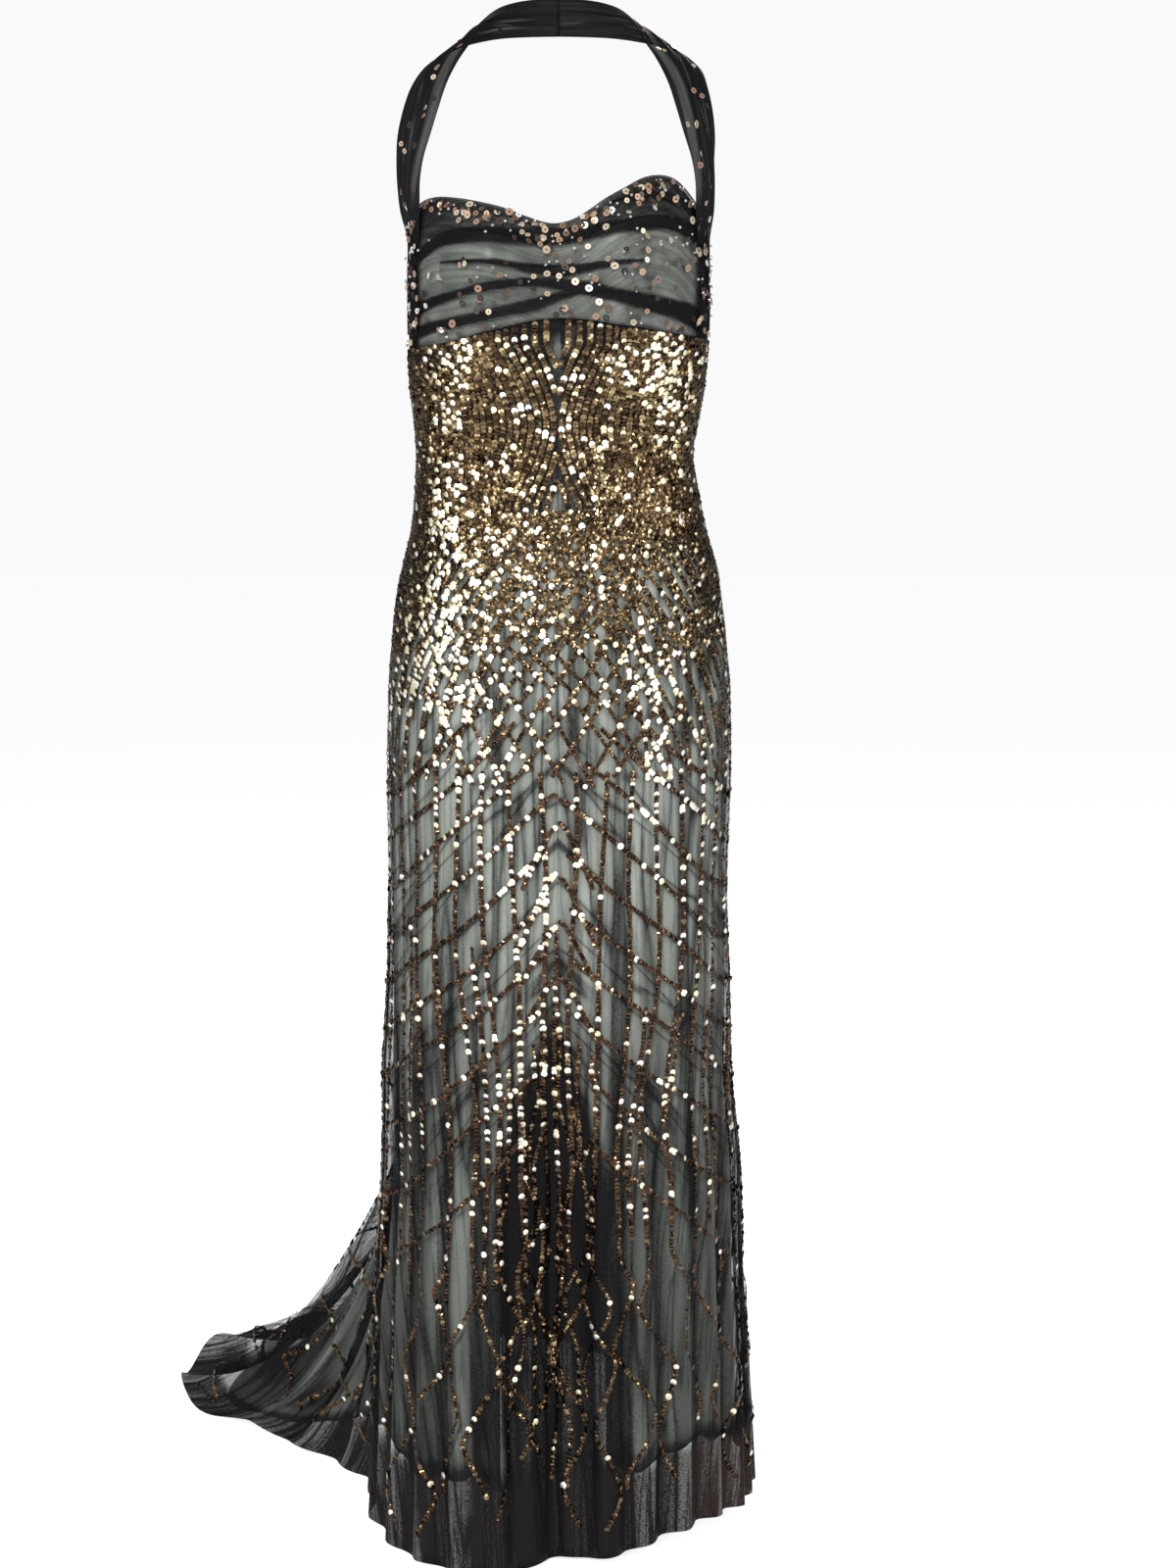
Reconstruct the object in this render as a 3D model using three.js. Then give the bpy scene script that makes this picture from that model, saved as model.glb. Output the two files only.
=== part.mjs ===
// A halter evening gown with a train, in millimetres, +Z up, as it hangs when it is worn and the inside is empty.
// The front faces -Y. The origin is the middle of the halter band at the nape, which is where the gown hangs from.
// Left and right are the wearer's, so the wearer's left is +X. An angle runs round the gown's upright axis: 0 is the
// centre front, 90 the left side seam, -90 the right side seam and 180 the centre back.
// A level runs down the skirt: 0 is the under-bust seam, 1 the knee line and 2 the hem.

import * as THREE from "three";

// Driving dimensions
const FLOOR_Z = -1495; // floor below the nape
const AXIS_Y = -62; // the gown's upright axis lies this far in front of the nape
const KNEE_Z = -900; // from here down the skirt flares and the train starts
const NET_WALL = 1.2;
const LINING_WALL = 1.2;
const BAND_WALL = 1.6;
const SEAM_GAP = 0.3; // between two pieces that are sewn edge to edge
const LINING_DROP = 1.8; // from the middle of the net to the middle of the lining, at the top
const LINING_SLACK = { straight: 6, train: 4 }; // how much further in the lining hangs at the hem
const BUST_LINING_DROP = 2.8;
const STRAP_RISE = 1.6; // from the middle of the bust net to the middle of a strap that lies on it

// Half widths and depths of the body of the gown at each height, measured from its upright axis
const BODY = rows(["z", "right", "left", "front", "back"], [
  [-150, 145, 145, 84, 84],
  [-208, 145.5, 146, 90, 88],
  [-303, 146, 146.5, 90, 88],
  [-360, 145.2, 142.6, 84, 84],
  [-398, 140.7, 136.1, 80, 81],
  [-431, 138.8, 131, 79, 80],
  [-475, 141, 138.3, 83, 86],
  [-504, 144.4, 144.3, 88, 94],
  [-542, 153.4, 155.5, 93, 106],
  [-562, 158, 158.2, 96, 112],
  [-600, 162.6, 163, 99, 120],
  [-659, 167.6, 168.8, 103, 126],
  [-757, 170, 170, 108, 121],
  [-856, 169, 167.6, 111, 114],
  [-956, 171.5, 171, 116, 117],
  [-1056, 176, 173, 123, 126],
  [-1137, 176, 180, 129, 136],
  [-1239, 180, 182, 137, 150],
  [-1363, 181, 186, 144, 165],
  [-1495, 181, 188, 150, 176],
]);

// Two soft cups, fuller below the bust point than above it
const CUP = { x: 74, z: -252, height: 33, halfWidth: 40, above: 58, below: 42 };

// Height of the sweetheart neckline and of the plain top edge of the back
const NECKLINE = around(["angle", "z"], [
  [-155, -284], [-130, -262], [-108, -234], [-90, -214], [-78, -202], [-64, -190], [-52, -187],
  [-40, -190], [-28, -196], [-20, -201], [-10, -210], [-2, -215], [5, -212], [11, -204], [18, -192],
  [26, -181], [34, -171], [42, -167.5], [50, -170], [57, -178], [64, -188], [78, -202], [90, -214],
  [108, -234], [130, -262], [155, -284], [180, -290],
]);

// Height of the seam under the bust
const UNDER_BUST = around(["angle", "z"], [
  [-135, -327], [-90, -328], [-78, -328], [-48, -325], [-25, -315], [0, -303.5], [26, -311],
  [55, -317], [78, -318.5], [90, -319.5], [135, -322], [180, -325],
]);

// Long gathered folds across the bust: down is the share of the way from the neckline to the seam
const BUST_FOLDS = rows(["down", "spread", "height", "centre", "reach"], [
  [0.1, 0.042, 2.2, 0, 62],
  [0.27, 0.06, 3.4, 4, 66],
  [0.5, 0.055, 3.2, -6, 50],
  [0.7, 0.052, 2.8, 2, 64],
  [0.88, 0.048, 3.0, -4, 66],
]);
const BUST_FOLD_END = 64; // the folds have died out at this angle, where the straps start

// Crest of each fold of the skirt's net: its depth at the hem and the level where it starts
const SKIRT_FOLDS = rows(["angle", "depth", "top"], [
  [-184, 24, 1.05], [-170, 34, 0.95], [-157, 40, 1], [-144, 36, 0.9], [-130, 30, 1.05], [-116, 20, 0.95], [-101, 11, 1],
  [-86, 9, 0.95], [-72, 12, 0.8], [-58, 9, 1], [-45, 13, 0.85], [-32, 11, 1.05], [-20, 14, 0.9], [-9, 8, 1.1],
  [2, 9, 1.15], [14, 13, 0.9], [27, 11, 1.05], [40, 14, 0.8], [54, 10, 1], [68, 12, 0.9], [82, 9, 0.95],
  [96, 11, 1], [110, 14, 0.95], [124, 18, 1.05], [137, 22, 0.95], [150, 26, 1], [163, 22, 0.9], [176, 24, 1.05],
  [190, 34, 0.95],
]);

// The deep fall of the net between the knees at the centre front
const VALLEY = { angle: -2, halfAngle: 11.5, depth: 40, top: 0.85, full: 1.6 };

// Where the hem lies: its place from the axis, its height over the floor, and how much of it is train
const HEM = around(["angle", "x", "y", "clear", "train"], [
  [-170, -310, 560, 2, 1],
  [-160, -400, 490, 2, 1],
  [-150, -440, 390, 2, 1],
  [-140, -420, 270, 2, 1],
  [-130, -338, 196, 2, 0.9],
  [-115, -272, 134, 2, 0.6],
  [-100, -216, 72, 2, 0.25],
  [-90, -194, 28, 3, 0.1],
  [-75, -184, -44, 3, 0],
  [-60, -164, -118, 2, 0],
  [-45, -128, -170, 2, 0],
  [-30, -86, -198, 2, 0],
  [-15, -42, -208, 2, 0],
  [0, 4, -200, 3, 0],
  [15, 50, -178, 8, 0],
  [30, 92, -146, 14, 0],
  [45, 132, -112, 18, 0],
  [60, 164, -76, 16, 0],
  [75, 184, -34, 12, 0],
  [90, 192, 14, 8, 0.05],
  [105, 194, 78, 4, 0.2],
  [120, 184, 170, 3, 0.45],
  [130, 162, 262, 2, 0.7],
  [140, 126, 352, 2, 0.9],
  [150, 70, 446, 2, 1],
  [160, 0, 528, 2, 1],
  [170, -92, 578, 2, 1],
  [180, -200, 590, 2, 1],
]);
const FLARE_POWER = { straight: 2.4, train: 0.8 }; // how late the skirt runs out to its hem

// The lining is shorter than the net, and its front opens in a slit below the knee
const LINING_HEM = 1.88;
const SLIT = { top: 1.12, full: 1.7, right: -18, left: 14 };

// The two edges of a strap, from the under-bust seam up to the nape, as on the wearer's left; y is from the gown's
// axis, and leftOut is how much further out the left strap spreads than the right one
const STRAP_ON_BUST = rows(["z", "inner", "outer"], [
  [-314, 66, 88.5],
  [-284, 65.5, 88],
  [-252, 65, 87.5],
  [-222, 64.5, 87],
]);
const STRAP_FREE = rows(["innerX", "innerY", "innerZ", "outerX", "outerY", "outerZ", "leftOut"], [
  [132, -50, -193, 153, -14, -196, -2],
  [131, -56, -171, 155, -24, -171, -4],
  [127, -61, -150, 155, -32, -150, -5],
  [120, -62, -128, 153.5, -36, -128, -3],
  [113, -57, -104, 148.5, -33, -104, 0],
  [105, -47, -78, 141, -26, -81, 3],
  [94, -32, -54, 130, -13, -62, 8],
  [81, -12, -32, 114, 5, -48, 11],
  [71, 8, -12, 96, 21, -36, 8],
  [60, 28, 2, 77, 37, -28, 3],
  [44, 45, 11, 55, 51, -22, 0],
  [24, 57, 16.5, 29, 60, -19, 0],
  [0, 61.5, 18, 0, 62.5, -18, 0],
]);
const STRAP_PLEATS = 4;
const PLEAT_HEIGHT = 1.1;
const STRAP_BOW = 2.5;

// Rows and columns of the walls
const UPPER_LEVELS = [0, 0.07, 0.14, 0.21, 0.29, 0.37, 0.45, 0.55, 0.66, 0.8, 1];
const LOWER_LEVELS = [1.12, 1.25, 1.38, 1.5, 1.62, 1.73, 1.83];
const SKIRT_LEVELS = [...UPPER_LEVELS, ...LOWER_LEVELS, 1.92, 2];
const DRAPE_ROWS = [0, 0.05, 0.1, 0.18, 0.27, 0.36, 0.43, 0.5, 0.58, 0.64, 0.7, 0.79, 0.88, 0.95, 1];
const BUST_LINING_ROWS = [0, 0.18, 0.36, 0.5, 0.64, 0.79, 0.9, 1];
const BUST_COLUMNS = 30;
const LINING_COLUMNS = 10;
const BAND_ROWS = [0, 0.3, 0.65, 1];
const BAND_COLUMNS = 8;
const FOLD_COLUMNS = [0, 0.36, 0.64]; // places of the columns within one fold, from crest to crest

// A table: one object for each row, with the named columns
function rows(names, values) {
  return values.map((row) => Object.fromEntries(names.map((name, i) => [name, row[i]])));
}

// A table that runs once round the gown, with its last rows repeated a turn before and its first a turn after
function around(names, values) {
  const turn = (row, by) => [row[0] + by, ...row.slice(1)];
  const before = values.slice(-2).map((row) => turn(row, -360));
  const after = values.slice(0, 2).map((row) => turn(row, 360));
  return rows(names, [...before, ...values, ...after]);
}

// Smooth curve through one column of a table at a value of its key column (cubic, with slopes from the neighbours)
function along(table, key, name, at) {
  const rising = table[1][key] > table[0][key];
  let i = 0;
  while (i < table.length - 2 && (rising ? at > table[i + 1][key] : at < table[i + 1][key])) i += 1;
  const a = table[i];
  const b = table[i + 1];
  const span = b[key] - a[key];
  const t = THREE.MathUtils.clamp((at - a[key]) / span, 0, 1);
  const slope = (j) => {
    const before = table[Math.max(j - 1, 0)];
    const after = table[Math.min(j + 1, table.length - 1)];
    return ((after[name] - before[name]) / (after[key] - before[key])) * span;
  };
  const t2 = t * t;
  const t3 = t2 * t;
  return (
    (2 * t3 - 3 * t2 + 1) * a[name] + (t3 - 2 * t2 + t) * slope(i) +
    (3 * t2 - 2 * t3) * b[name] + (t3 - t2) * slope(i + 1)
  );
}

const { lerp, smoothstep, degToRad } = THREE.MathUtils;

// Point of the plain body of the gown: an ellipse at each height, with the cups raised on its front
function bodyPoint(angle, z) {
  const turn = degToRad(angle);
  const halfWidth = along(BODY, "z", Math.sin(turn) < 0 ? "right" : "left", z);
  const depth = along(BODY, "z", Math.cos(turn) > 0 ? "front" : "back", z);
  const x = halfWidth * Math.sin(turn);
  const across = (Math.abs(x) - CUP.x) / CUP.halfWidth;
  const up = (z - CUP.z) / (z > CUP.z ? CUP.above : CUP.below);
  const cup = Math.cos(turn) > 0 ? CUP.height * Math.exp(-across * across - up * up) * Math.cos(turn) ** 0.5 : 0;
  return new THREE.Vector3(x, AXIS_Y - depth * Math.cos(turn) - cup, z);
}

// Point of the skirt without its folds: straight down from the hip, then out to the hem or along the train
function skirtBase(angle, level) {
  const top = along(UNDER_BUST, "angle", "z", angle);
  if (level <= 1) {
    return bodyPoint(angle, lerp(top, KNEE_Z, level)).add(valleyShift(angle, level));
  }
  const run = Math.min(level - 1, 1);
  const train = along(HEM, "angle", "train", angle);
  const low = FLOOR_Z + along(HEM, "angle", "clear", angle);
  const fall = lerp(run, Math.sin((run * Math.PI) / 2), train);
  const z = lerp(KNEE_Z, low, fall);
  const point = bodyPoint(angle, z);
  const end = bodyPoint(angle, FLOOR_Z);
  const out = (1 - Math.cos((run * Math.PI) / 2)) ** lerp(FLARE_POWER.straight, FLARE_POWER.train, train);
  point.x = lerp(point.x, point.x + along(HEM, "angle", "x", angle) - end.x, out);
  point.y = lerp(point.y, point.y + along(HEM, "angle", "y", angle) + AXIS_Y - end.y, out);
  return point.add(valleyShift(angle, level));
}

function valleyShift(angle, level) {
  const away = (angle - VALLEY.angle) / VALLEY.halfAngle;
  const depth = VALLEY.depth * smoothstep(level, VALLEY.top, VALLEY.full);
  return new THREE.Vector3(0, depth * Math.exp(-away * away), 0);
}

// Outward direction of a surface given by a function of two parameters
function outward(surface, u, v, stepU, stepV) {
  const alongU = surface(u + stepU, v).sub(surface(u - stepU, v));
  const alongV = surface(u, v + stepV).sub(surface(u, v - stepV));
  return alongV.cross(alongU).normalize();
}

const skirtOut = (angle, level) =>
  outward(skirtBase, angle, THREE.MathUtils.clamp(level, 0.02, 1.97), 1, 0.02);

// Number of the fold at an angle: whole at each crest, and halfway at the trough between two
function foldNumber(angle) {
  let i = 0;
  while (i < SKIRT_FOLDS.length - 2 && angle > SKIRT_FOLDS[i + 1].angle) i += 1;
  return i + (angle - SKIRT_FOLDS[i].angle) / (SKIRT_FOLDS[i + 1].angle - SKIRT_FOLDS[i].angle);
}

// How far the net stands off the plain skirt: nothing in a trough, the fold's depth on its crest
function foldHeight(angle, level) {
  const number = foldNumber(angle);
  const i = Math.min(Math.floor(number), SKIRT_FOLDS.length - 2);
  const part = number - i;
  const depth = lerp(SKIRT_FOLDS[i].depth, SKIRT_FOLDS[i + 1].depth, part);
  const top = lerp(SKIRT_FOLDS[i].top, SKIRT_FOLDS[i + 1].top, part);
  const settled = 1 - 0.5 * along(HEM, "angle", "train", angle) * smoothstep(level, 1.8, 2);
  return depth * (0.5 + 0.5 * Math.cos(2 * Math.PI * part)) * smoothstep(level, top, 2.1) * settled;
}

const netPoint = (angle, level) =>
  skirtBase(angle, level).addScaledVector(skirtOut(angle, level), foldHeight(angle, level));

// The lining hangs inside the net with no folds of its own, a little slacker towards the hem
function liningPoint(angle, level) {
  const slack = lerp(LINING_SLACK.straight, LINING_SLACK.train, along(HEM, "angle", "train", angle));
  const inside = LINING_DROP + slack * smoothstep(level, 0.9, 1.3);
  return skirtBase(angle, level).addScaledVector(skirtOut(angle, level), -inside);
}

// Point of the bust between the neckline and the seam under it
function bustPoint(angle, down) {
  const z = lerp(along(NECKLINE, "angle", "z", angle), along(UNDER_BUST, "angle", "z", angle), down);
  return bodyPoint(angle, z);
}

const bustOut = (angle, down) => outward(bustPoint, angle, THREE.MathUtils.clamp(down, 0.03, 0.97), 1, 0.03);

// Each gathered fold is a spindle: full at its middle and dying out towards its ends
function bustFoldHeight(angle, down) {
  let height = 0;
  for (const fold of BUST_FOLDS) {
    const reach = Math.min(fold.reach, BUST_FOLD_END - Math.abs(fold.centre));
    const away = Math.min(Math.abs(angle - fold.centre) / reach, 1);
    const off = (down - fold.down) / fold.spread;
    height += fold.height * Math.cos((away * Math.PI) / 2) ** 0.7 * Math.exp(-off * off);
  }
  return height;
}

const drapePoint = (angle, down) =>
  bustPoint(angle, down).addScaledVector(bustOut(angle, down), bustFoldHeight(angle, down));
const cupPoint = (angle, down) => bustPoint(angle, down).addScaledVector(bustOut(angle, down), -BUST_LINING_DROP);

// The plain back of the bodice keeps inside the line of the side seams
const bandPoint = bustPoint;

// A grid of points and outward directions: one row for each v, with its own columns; endV keeps off the two ends
function sheet(surface, columns, vs, endV, stepU, stepV) {
  return vs.map((v, r) =>
    columns[r].map((u) => ({
      point: surface(u, v),
      out: outward(surface, u, THREE.MathUtils.clamp(v, ...endV), stepU, stepV),
    }))
  );
}

// Draws the four edges of a grid in by half a seam gap
function drawIn(grid) {
  const half = SEAM_GAP / 2;
  const pull = (edge, next) => edge.point.add(next.point.clone().sub(edge.point).setLength(half));
  const last = grid.length - 1;
  for (const row of grid) {
    pull(row[0], row[1]);
    pull(row[row.length - 1], row[row.length - 2]);
  }
  grid[0].forEach((cell, c) => pull(cell, grid[1][c]));
  grid[last].forEach((cell, c) => pull(cell, grid[last - 1][c]));
  return grid;
}

// A cloth wall: the grid moved half its thickness out and in, closed along its four edges
function wall(grid, thickness) {
  const rowCount = grid.length;
  const columnCount = grid[0].length;
  const places = [];
  for (const side of [0.5, -0.5]) {
    for (const row of grid) {
      for (const cell of row) places.push(...cell.point.clone().addScaledVector(cell.out, side * thickness));
    }
  }
  const at = (side, r, c) => (side * rowCount + r) * columnCount + c;
  const faces = [];
  const quad = (a, b, c, d) => faces.push(a, b, c, a, c, d);
  for (let r = 0; r < rowCount - 1; r += 1) {
    for (let c = 0; c < columnCount - 1; c += 1) {
      quad(at(0, r, c), at(0, r + 1, c), at(0, r + 1, c + 1), at(0, r, c + 1));
      quad(at(1, r, c), at(1, r, c + 1), at(1, r + 1, c + 1), at(1, r + 1, c));
    }
    quad(at(0, r, 0), at(1, r, 0), at(1, r + 1, 0), at(0, r + 1, 0));
    const c = columnCount - 1;
    quad(at(0, r, c), at(0, r + 1, c), at(1, r + 1, c), at(1, r, c));
  }
  for (let c = 0; c < columnCount - 1; c += 1) {
    quad(at(0, 0, c), at(0, 0, c + 1), at(1, 0, c + 1), at(1, 0, c));
    const r = rowCount - 1;
    quad(at(0, r, c), at(1, r, c), at(1, r, c + 1), at(0, r, c + 1));
  }
  const geometry = new THREE.BufferGeometry();
  geometry.setAttribute("position", new THREE.Float32BufferAttribute(places, 3));
  geometry.setIndex(faces);
  geometry.computeVertexNormals();
  return geometry;
}

const evenly = (from, to, count) => Array.from({ length: count + 1 }, (_, i) => lerp(from, to, i / count));

// Columns of a net panel: three for each fold, and the two seams
function foldAngles(from, to) {
  const angles = [];
  for (let i = 0; i < SKIRT_FOLDS.length - 1; i += 1) {
    for (const part of FOLD_COLUMNS) angles.push(lerp(SKIRT_FOLDS[i].angle, SKIRT_FOLDS[i + 1].angle, part));
  }
  const margin = 1.5;
  return [from, ...angles.filter((angle) => angle > from + margin && angle < to - margin), to];
}

function netPanel(from, to) {
  const columns = SKIRT_LEVELS.map(() => foldAngles(from, to));
  return wall(drawIn(sheet(netPoint, columns, SKIRT_LEVELS, [0.02, 1.97], 0.7, 0.02)), NET_WALL);
}

// A lining panel from its inner edge, which may open into the slit, to its outer seam
function liningPanel(innerEdge, outerEdge) {
  const levels = [...UPPER_LEVELS, ...LOWER_LEVELS, LINING_HEM];
  const columns = levels.map((level) => {
    const edge = innerEdge(level);
    const angles = evenly(edge, outerEdge, LINING_COLUMNS);
    return edge < outerEdge ? angles : angles.reverse();
  });
  return wall(drawIn(sheet(liningPoint, columns, levels, [0.02, 1.97], 1, 0.02)), LINING_WALL);
}

const slitEdge = (side) => (level) => SLIT[side] * smoothstep(level, SLIT.top, SLIT.full);

function bustPanel(surface, rowShares, thickness) {
  const columns = rowShares.map(() => evenly(-90, 90, BUST_COLUMNS));
  return wall(drawIn(sheet(surface, columns, rowShares, [0.02, 0.98], 1, 0.02)), thickness);
}

function backBand(from, to) {
  const columns = BAND_ROWS.map(() => evenly(from, to, BAND_COLUMNS));
  return wall(drawIn(sheet(bandPoint, columns, BAND_ROWS, [0.03, 0.97], 1, 0.03)), BAND_WALL);
}

// A strap: a gathered band between its two edge curves, with lengthwise pleats, that ends at the nape
function strap(side) {
  const edges = STRAP_ON_BUST.map(({ z, inner, outer }) =>
    [inner, outer].map((angle) => {
      const out = outward(bodyPoint, angle, z, 1, -4);
      return bodyPoint(angle, z).addScaledVector(out, STRAP_RISE);
    })
  );
  for (const row of STRAP_FREE) {
    edges.push([
      new THREE.Vector3(row.innerX, row.innerY + AXIS_Y, row.innerZ),
      new THREE.Vector3(row.outerX + (side > 0 ? row.leftOut : 0), row.outerY + AXIS_Y, row.outerZ),
    ]);
  }
  const onBust = STRAP_ON_BUST.length;
  const columnCount = STRAP_PLEATS * 2;
  const middle = (r, share) => {
    if (r < onBust) {
      const { z, inner, outer } = STRAP_ON_BUST[r];
      const angle = lerp(inner, outer, share);
      return bodyPoint(angle, z).addScaledVector(outward(bodyPoint, angle, z, 1, -4), STRAP_RISE);
    }
    return edges[r][0].clone().lerp(edges[r][1], share);
  };
  const plain = edges.map((_, r) => evenly(0, 1, columnCount).map((share) => middle(r, share)));
  const grid = plain.map((row, r) =>
    row.map((point, c) => {
      const up = plain[Math.min(r + 1, plain.length - 1)][c].clone().sub(plain[Math.max(r - 1, 0)][c]);
      const across = row[Math.min(c + 1, columnCount)].clone().sub(row[Math.max(c - 1, 0)]);
      const out = across.cross(up).normalize();
      const share = c / columnCount;
      const bow = r < onBust ? 0 : STRAP_BOW * 4 * share * (1 - share);
      const pleat = c % 2 === 1 ? PLEAT_HEIGHT : 0;
      const moved = point.clone().addScaledVector(out, bow + pleat);
      return { point: moved, out };
    })
  );
  for (const cell of grid[grid.length - 1]) {
    cell.out.x = 0;
    cell.out.normalize();
    cell.point.x = SEAM_GAP / 2;
  }
  const mirrored = side < 0;
  const placed = grid.map((row) => (mirrored ? [...row].reverse() : row));
  for (const row of mirrored ? placed : []) {
    for (const cell of row) {
      cell.point.x *= -1;
      cell.out.x *= -1;
    }
  }
  placed.reverse();
  return wall(placed, NET_WALL);
}

const BLACK_NET = new THREE.MeshStandardMaterial({ color: 0x23211f, roughness: 0.8, metalness: 0 });
const BEADED_NET = new THREE.MeshStandardMaterial({ color: 0x5c4a34, roughness: 0.45, metalness: 0.5 });
const LINING_SATIN = new THREE.MeshStandardMaterial({ color: 0x777a6f, roughness: 0.5, metalness: 0 });

const group = new THREE.Group();

function add(name, geometry, material) {
  const mesh = new THREE.Mesh(geometry, material);
  mesh.name = name;
  group.add(mesh);
}

add("bust_drape", bustPanel(drapePoint, DRAPE_ROWS, NET_WALL), BLACK_NET);
add("bust_lining", bustPanel(cupPoint, BUST_LINING_ROWS, LINING_WALL), LINING_SATIN);
add("back_band_left", backBand(90, 180), BLACK_NET);
add("back_band_right", backBand(-180, -90), BLACK_NET);
add("strap_left", strap(1), BLACK_NET);
add("strap_right", strap(-1), BLACK_NET);
add("skirt_front", netPanel(-90, 90), BEADED_NET);
add("skirt_back_left", netPanel(90, 180), BEADED_NET);
add("skirt_back_right", netPanel(-180, -90), BEADED_NET);
add("lining_front_left", liningPanel(slitEdge("left"), 90), LINING_SATIN);
add("lining_front_right", liningPanel(slitEdge("right"), -90), LINING_SATIN);
add("lining_back_left", liningPanel(() => 180, 90), LINING_SATIN);
add("lining_back_right", liningPanel(() => -180, -90), LINING_SATIN);

export default group;
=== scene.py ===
"""A halter evening gown with a train: beaded black net over a satin lining, hung from the nape.

The script follows the gown as it is put together, from the lining outwards, and then lights it. Tables are
in millimetres and degrees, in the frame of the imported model: the nape is the origin, Z is up, the front
faces -Y, and the wearer's left is +X. Meshes are made in metres.
"""
import math

import bpy
import mathutils
import numpy as np
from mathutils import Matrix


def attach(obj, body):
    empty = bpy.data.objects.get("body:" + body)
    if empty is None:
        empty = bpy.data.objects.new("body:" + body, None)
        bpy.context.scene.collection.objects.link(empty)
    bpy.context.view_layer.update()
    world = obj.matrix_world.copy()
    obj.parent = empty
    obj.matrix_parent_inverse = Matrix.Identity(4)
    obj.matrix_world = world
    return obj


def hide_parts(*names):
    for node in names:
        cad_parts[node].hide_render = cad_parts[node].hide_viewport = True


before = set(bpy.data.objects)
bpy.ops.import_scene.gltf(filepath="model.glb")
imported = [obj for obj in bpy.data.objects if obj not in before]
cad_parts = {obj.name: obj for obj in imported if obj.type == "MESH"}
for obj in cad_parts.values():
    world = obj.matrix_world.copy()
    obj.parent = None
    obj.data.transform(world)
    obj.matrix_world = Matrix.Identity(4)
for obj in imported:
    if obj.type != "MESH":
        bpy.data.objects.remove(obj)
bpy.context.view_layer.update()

# Bust lining
# A shaped band of grey-green satin with a moulded cup on each side, from the neckline to the under-bust seam.
# It is cut in two cup sections, seamed over the fullest point, and hangs 3 mm inside the net drape.

MM = 0.001
AXIS_Y = -62


def rows(names, values):
    """A table as one array per named column."""
    return {name: np.array(column, float) for name, column in zip(names, zip(*values))}


def around(names, values):
    """A table by angle that goes on past the centre back, with two rows of its other end at each end."""
    before = [[values[i][0] - 360, *values[i][1:]] for i in (-2, -1)]
    after = [[values[i][0] + 360, *values[i][1:]] for i in (0, 1)]
    return rows(names, before + values + after)


def along(table, key, column, at):
    """A column at any key: a cubic through the rows, with the slope between its neighbours at each row."""
    keys, values = table[key], table[column]
    slopes = np.gradient(values, keys)
    slopes[1:-1] = (values[2:] - values[:-2]) / (keys[2:] - keys[:-2])
    at = np.clip(at, keys[0], keys[-1])
    row = np.clip(np.searchsorted(keys, at, side="right") - 1, 0, len(keys) - 2)
    width = keys[row + 1] - keys[row]
    t = (at - keys[row]) / width
    return (
        values[row] * (1 + 2 * t) * (1 - t) ** 2
        + slopes[row] * width * t * (1 - t) ** 2
        + values[row + 1] * t * t * (3 - 2 * t)
        + slopes[row + 1] * width * t * t * (t - 1)
    )


def smoothstep(x, low, high):
    """0 below low, 1 above high, and an S-shaped cubic between them."""
    t = np.clip((x - low) / (high - low), 0, 1)
    return t * t * (3 - 2 * t)


def sine(degrees):
    return np.sin(np.radians(degrees))


def unit(vectors):
    """The same directions with a length of one."""
    return vectors / np.linalg.norm(vectors, axis=-1, keepdims=True)


def grid(first, last, columns, top, bottom, lines):
    """Two arrays, one of what runs across the cloth and one of what runs down it."""
    return np.meshgrid(np.linspace(first, last, columns), np.linspace(top, bottom, lines))


BODY = rows(["z", "right", "left", "front", "back"], [
    [-1495, 181, 188, 150, 176],
    [-1363, 181, 186, 144, 165],
    [-1239, 180, 182, 137, 150],
    [-1137, 176, 180, 129, 136],
    [-1056, 176, 173, 123, 126],
    [-956, 171.5, 171, 116, 117],
    [-856, 169, 167.6, 111, 114],
    [-757, 170, 170, 108, 121],
    [-659, 167.6, 168.8, 103, 126],
    [-600, 162.6, 163, 99, 120],
    [-562, 158, 158.2, 96, 112],
    [-542, 153.4, 155.5, 93, 106],
    [-504, 144.4, 144.3, 88, 94],
    [-475, 141, 138.3, 83, 86],
    [-431, 138.8, 131, 79, 80],
    [-398, 140.7, 136.1, 80, 81],
    [-360, 145.2, 142.6, 84, 84],
    [-303, 146, 146.5, 90, 88],
    [-208, 145.5, 146, 90, 88],
    [-150, 145, 145, 84, 84],
])
CUP = {"x": 74, "z": -252, "height": 33, "half_width": 40, "above": 58, "below": 42}
NECKLINE = around(["angle", "z"], [
    [-155, -284], [-130, -262], [-108, -234], [-90, -214], [-78, -202], [-64, -190], [-52, -187],
    [-40, -190], [-28, -196], [-20, -201], [-10, -210], [-2, -215], [5, -212], [11, -204], [18, -192],
    [26, -181], [34, -171], [42, -167.5], [50, -170], [57, -178], [64, -188], [78, -202], [90, -214],
    [108, -234], [130, -262], [155, -284], [180, -290],
])
UNDER_BUST = around(["angle", "z"], [
    [-135, -327], [-90, -328], [-78, -328], [-48, -325], [-25, -315], [0, -303.5], [26, -311], [55, -317],
    [78, -318.5], [90, -319.5], [135, -322], [180, -325],
])


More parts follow.
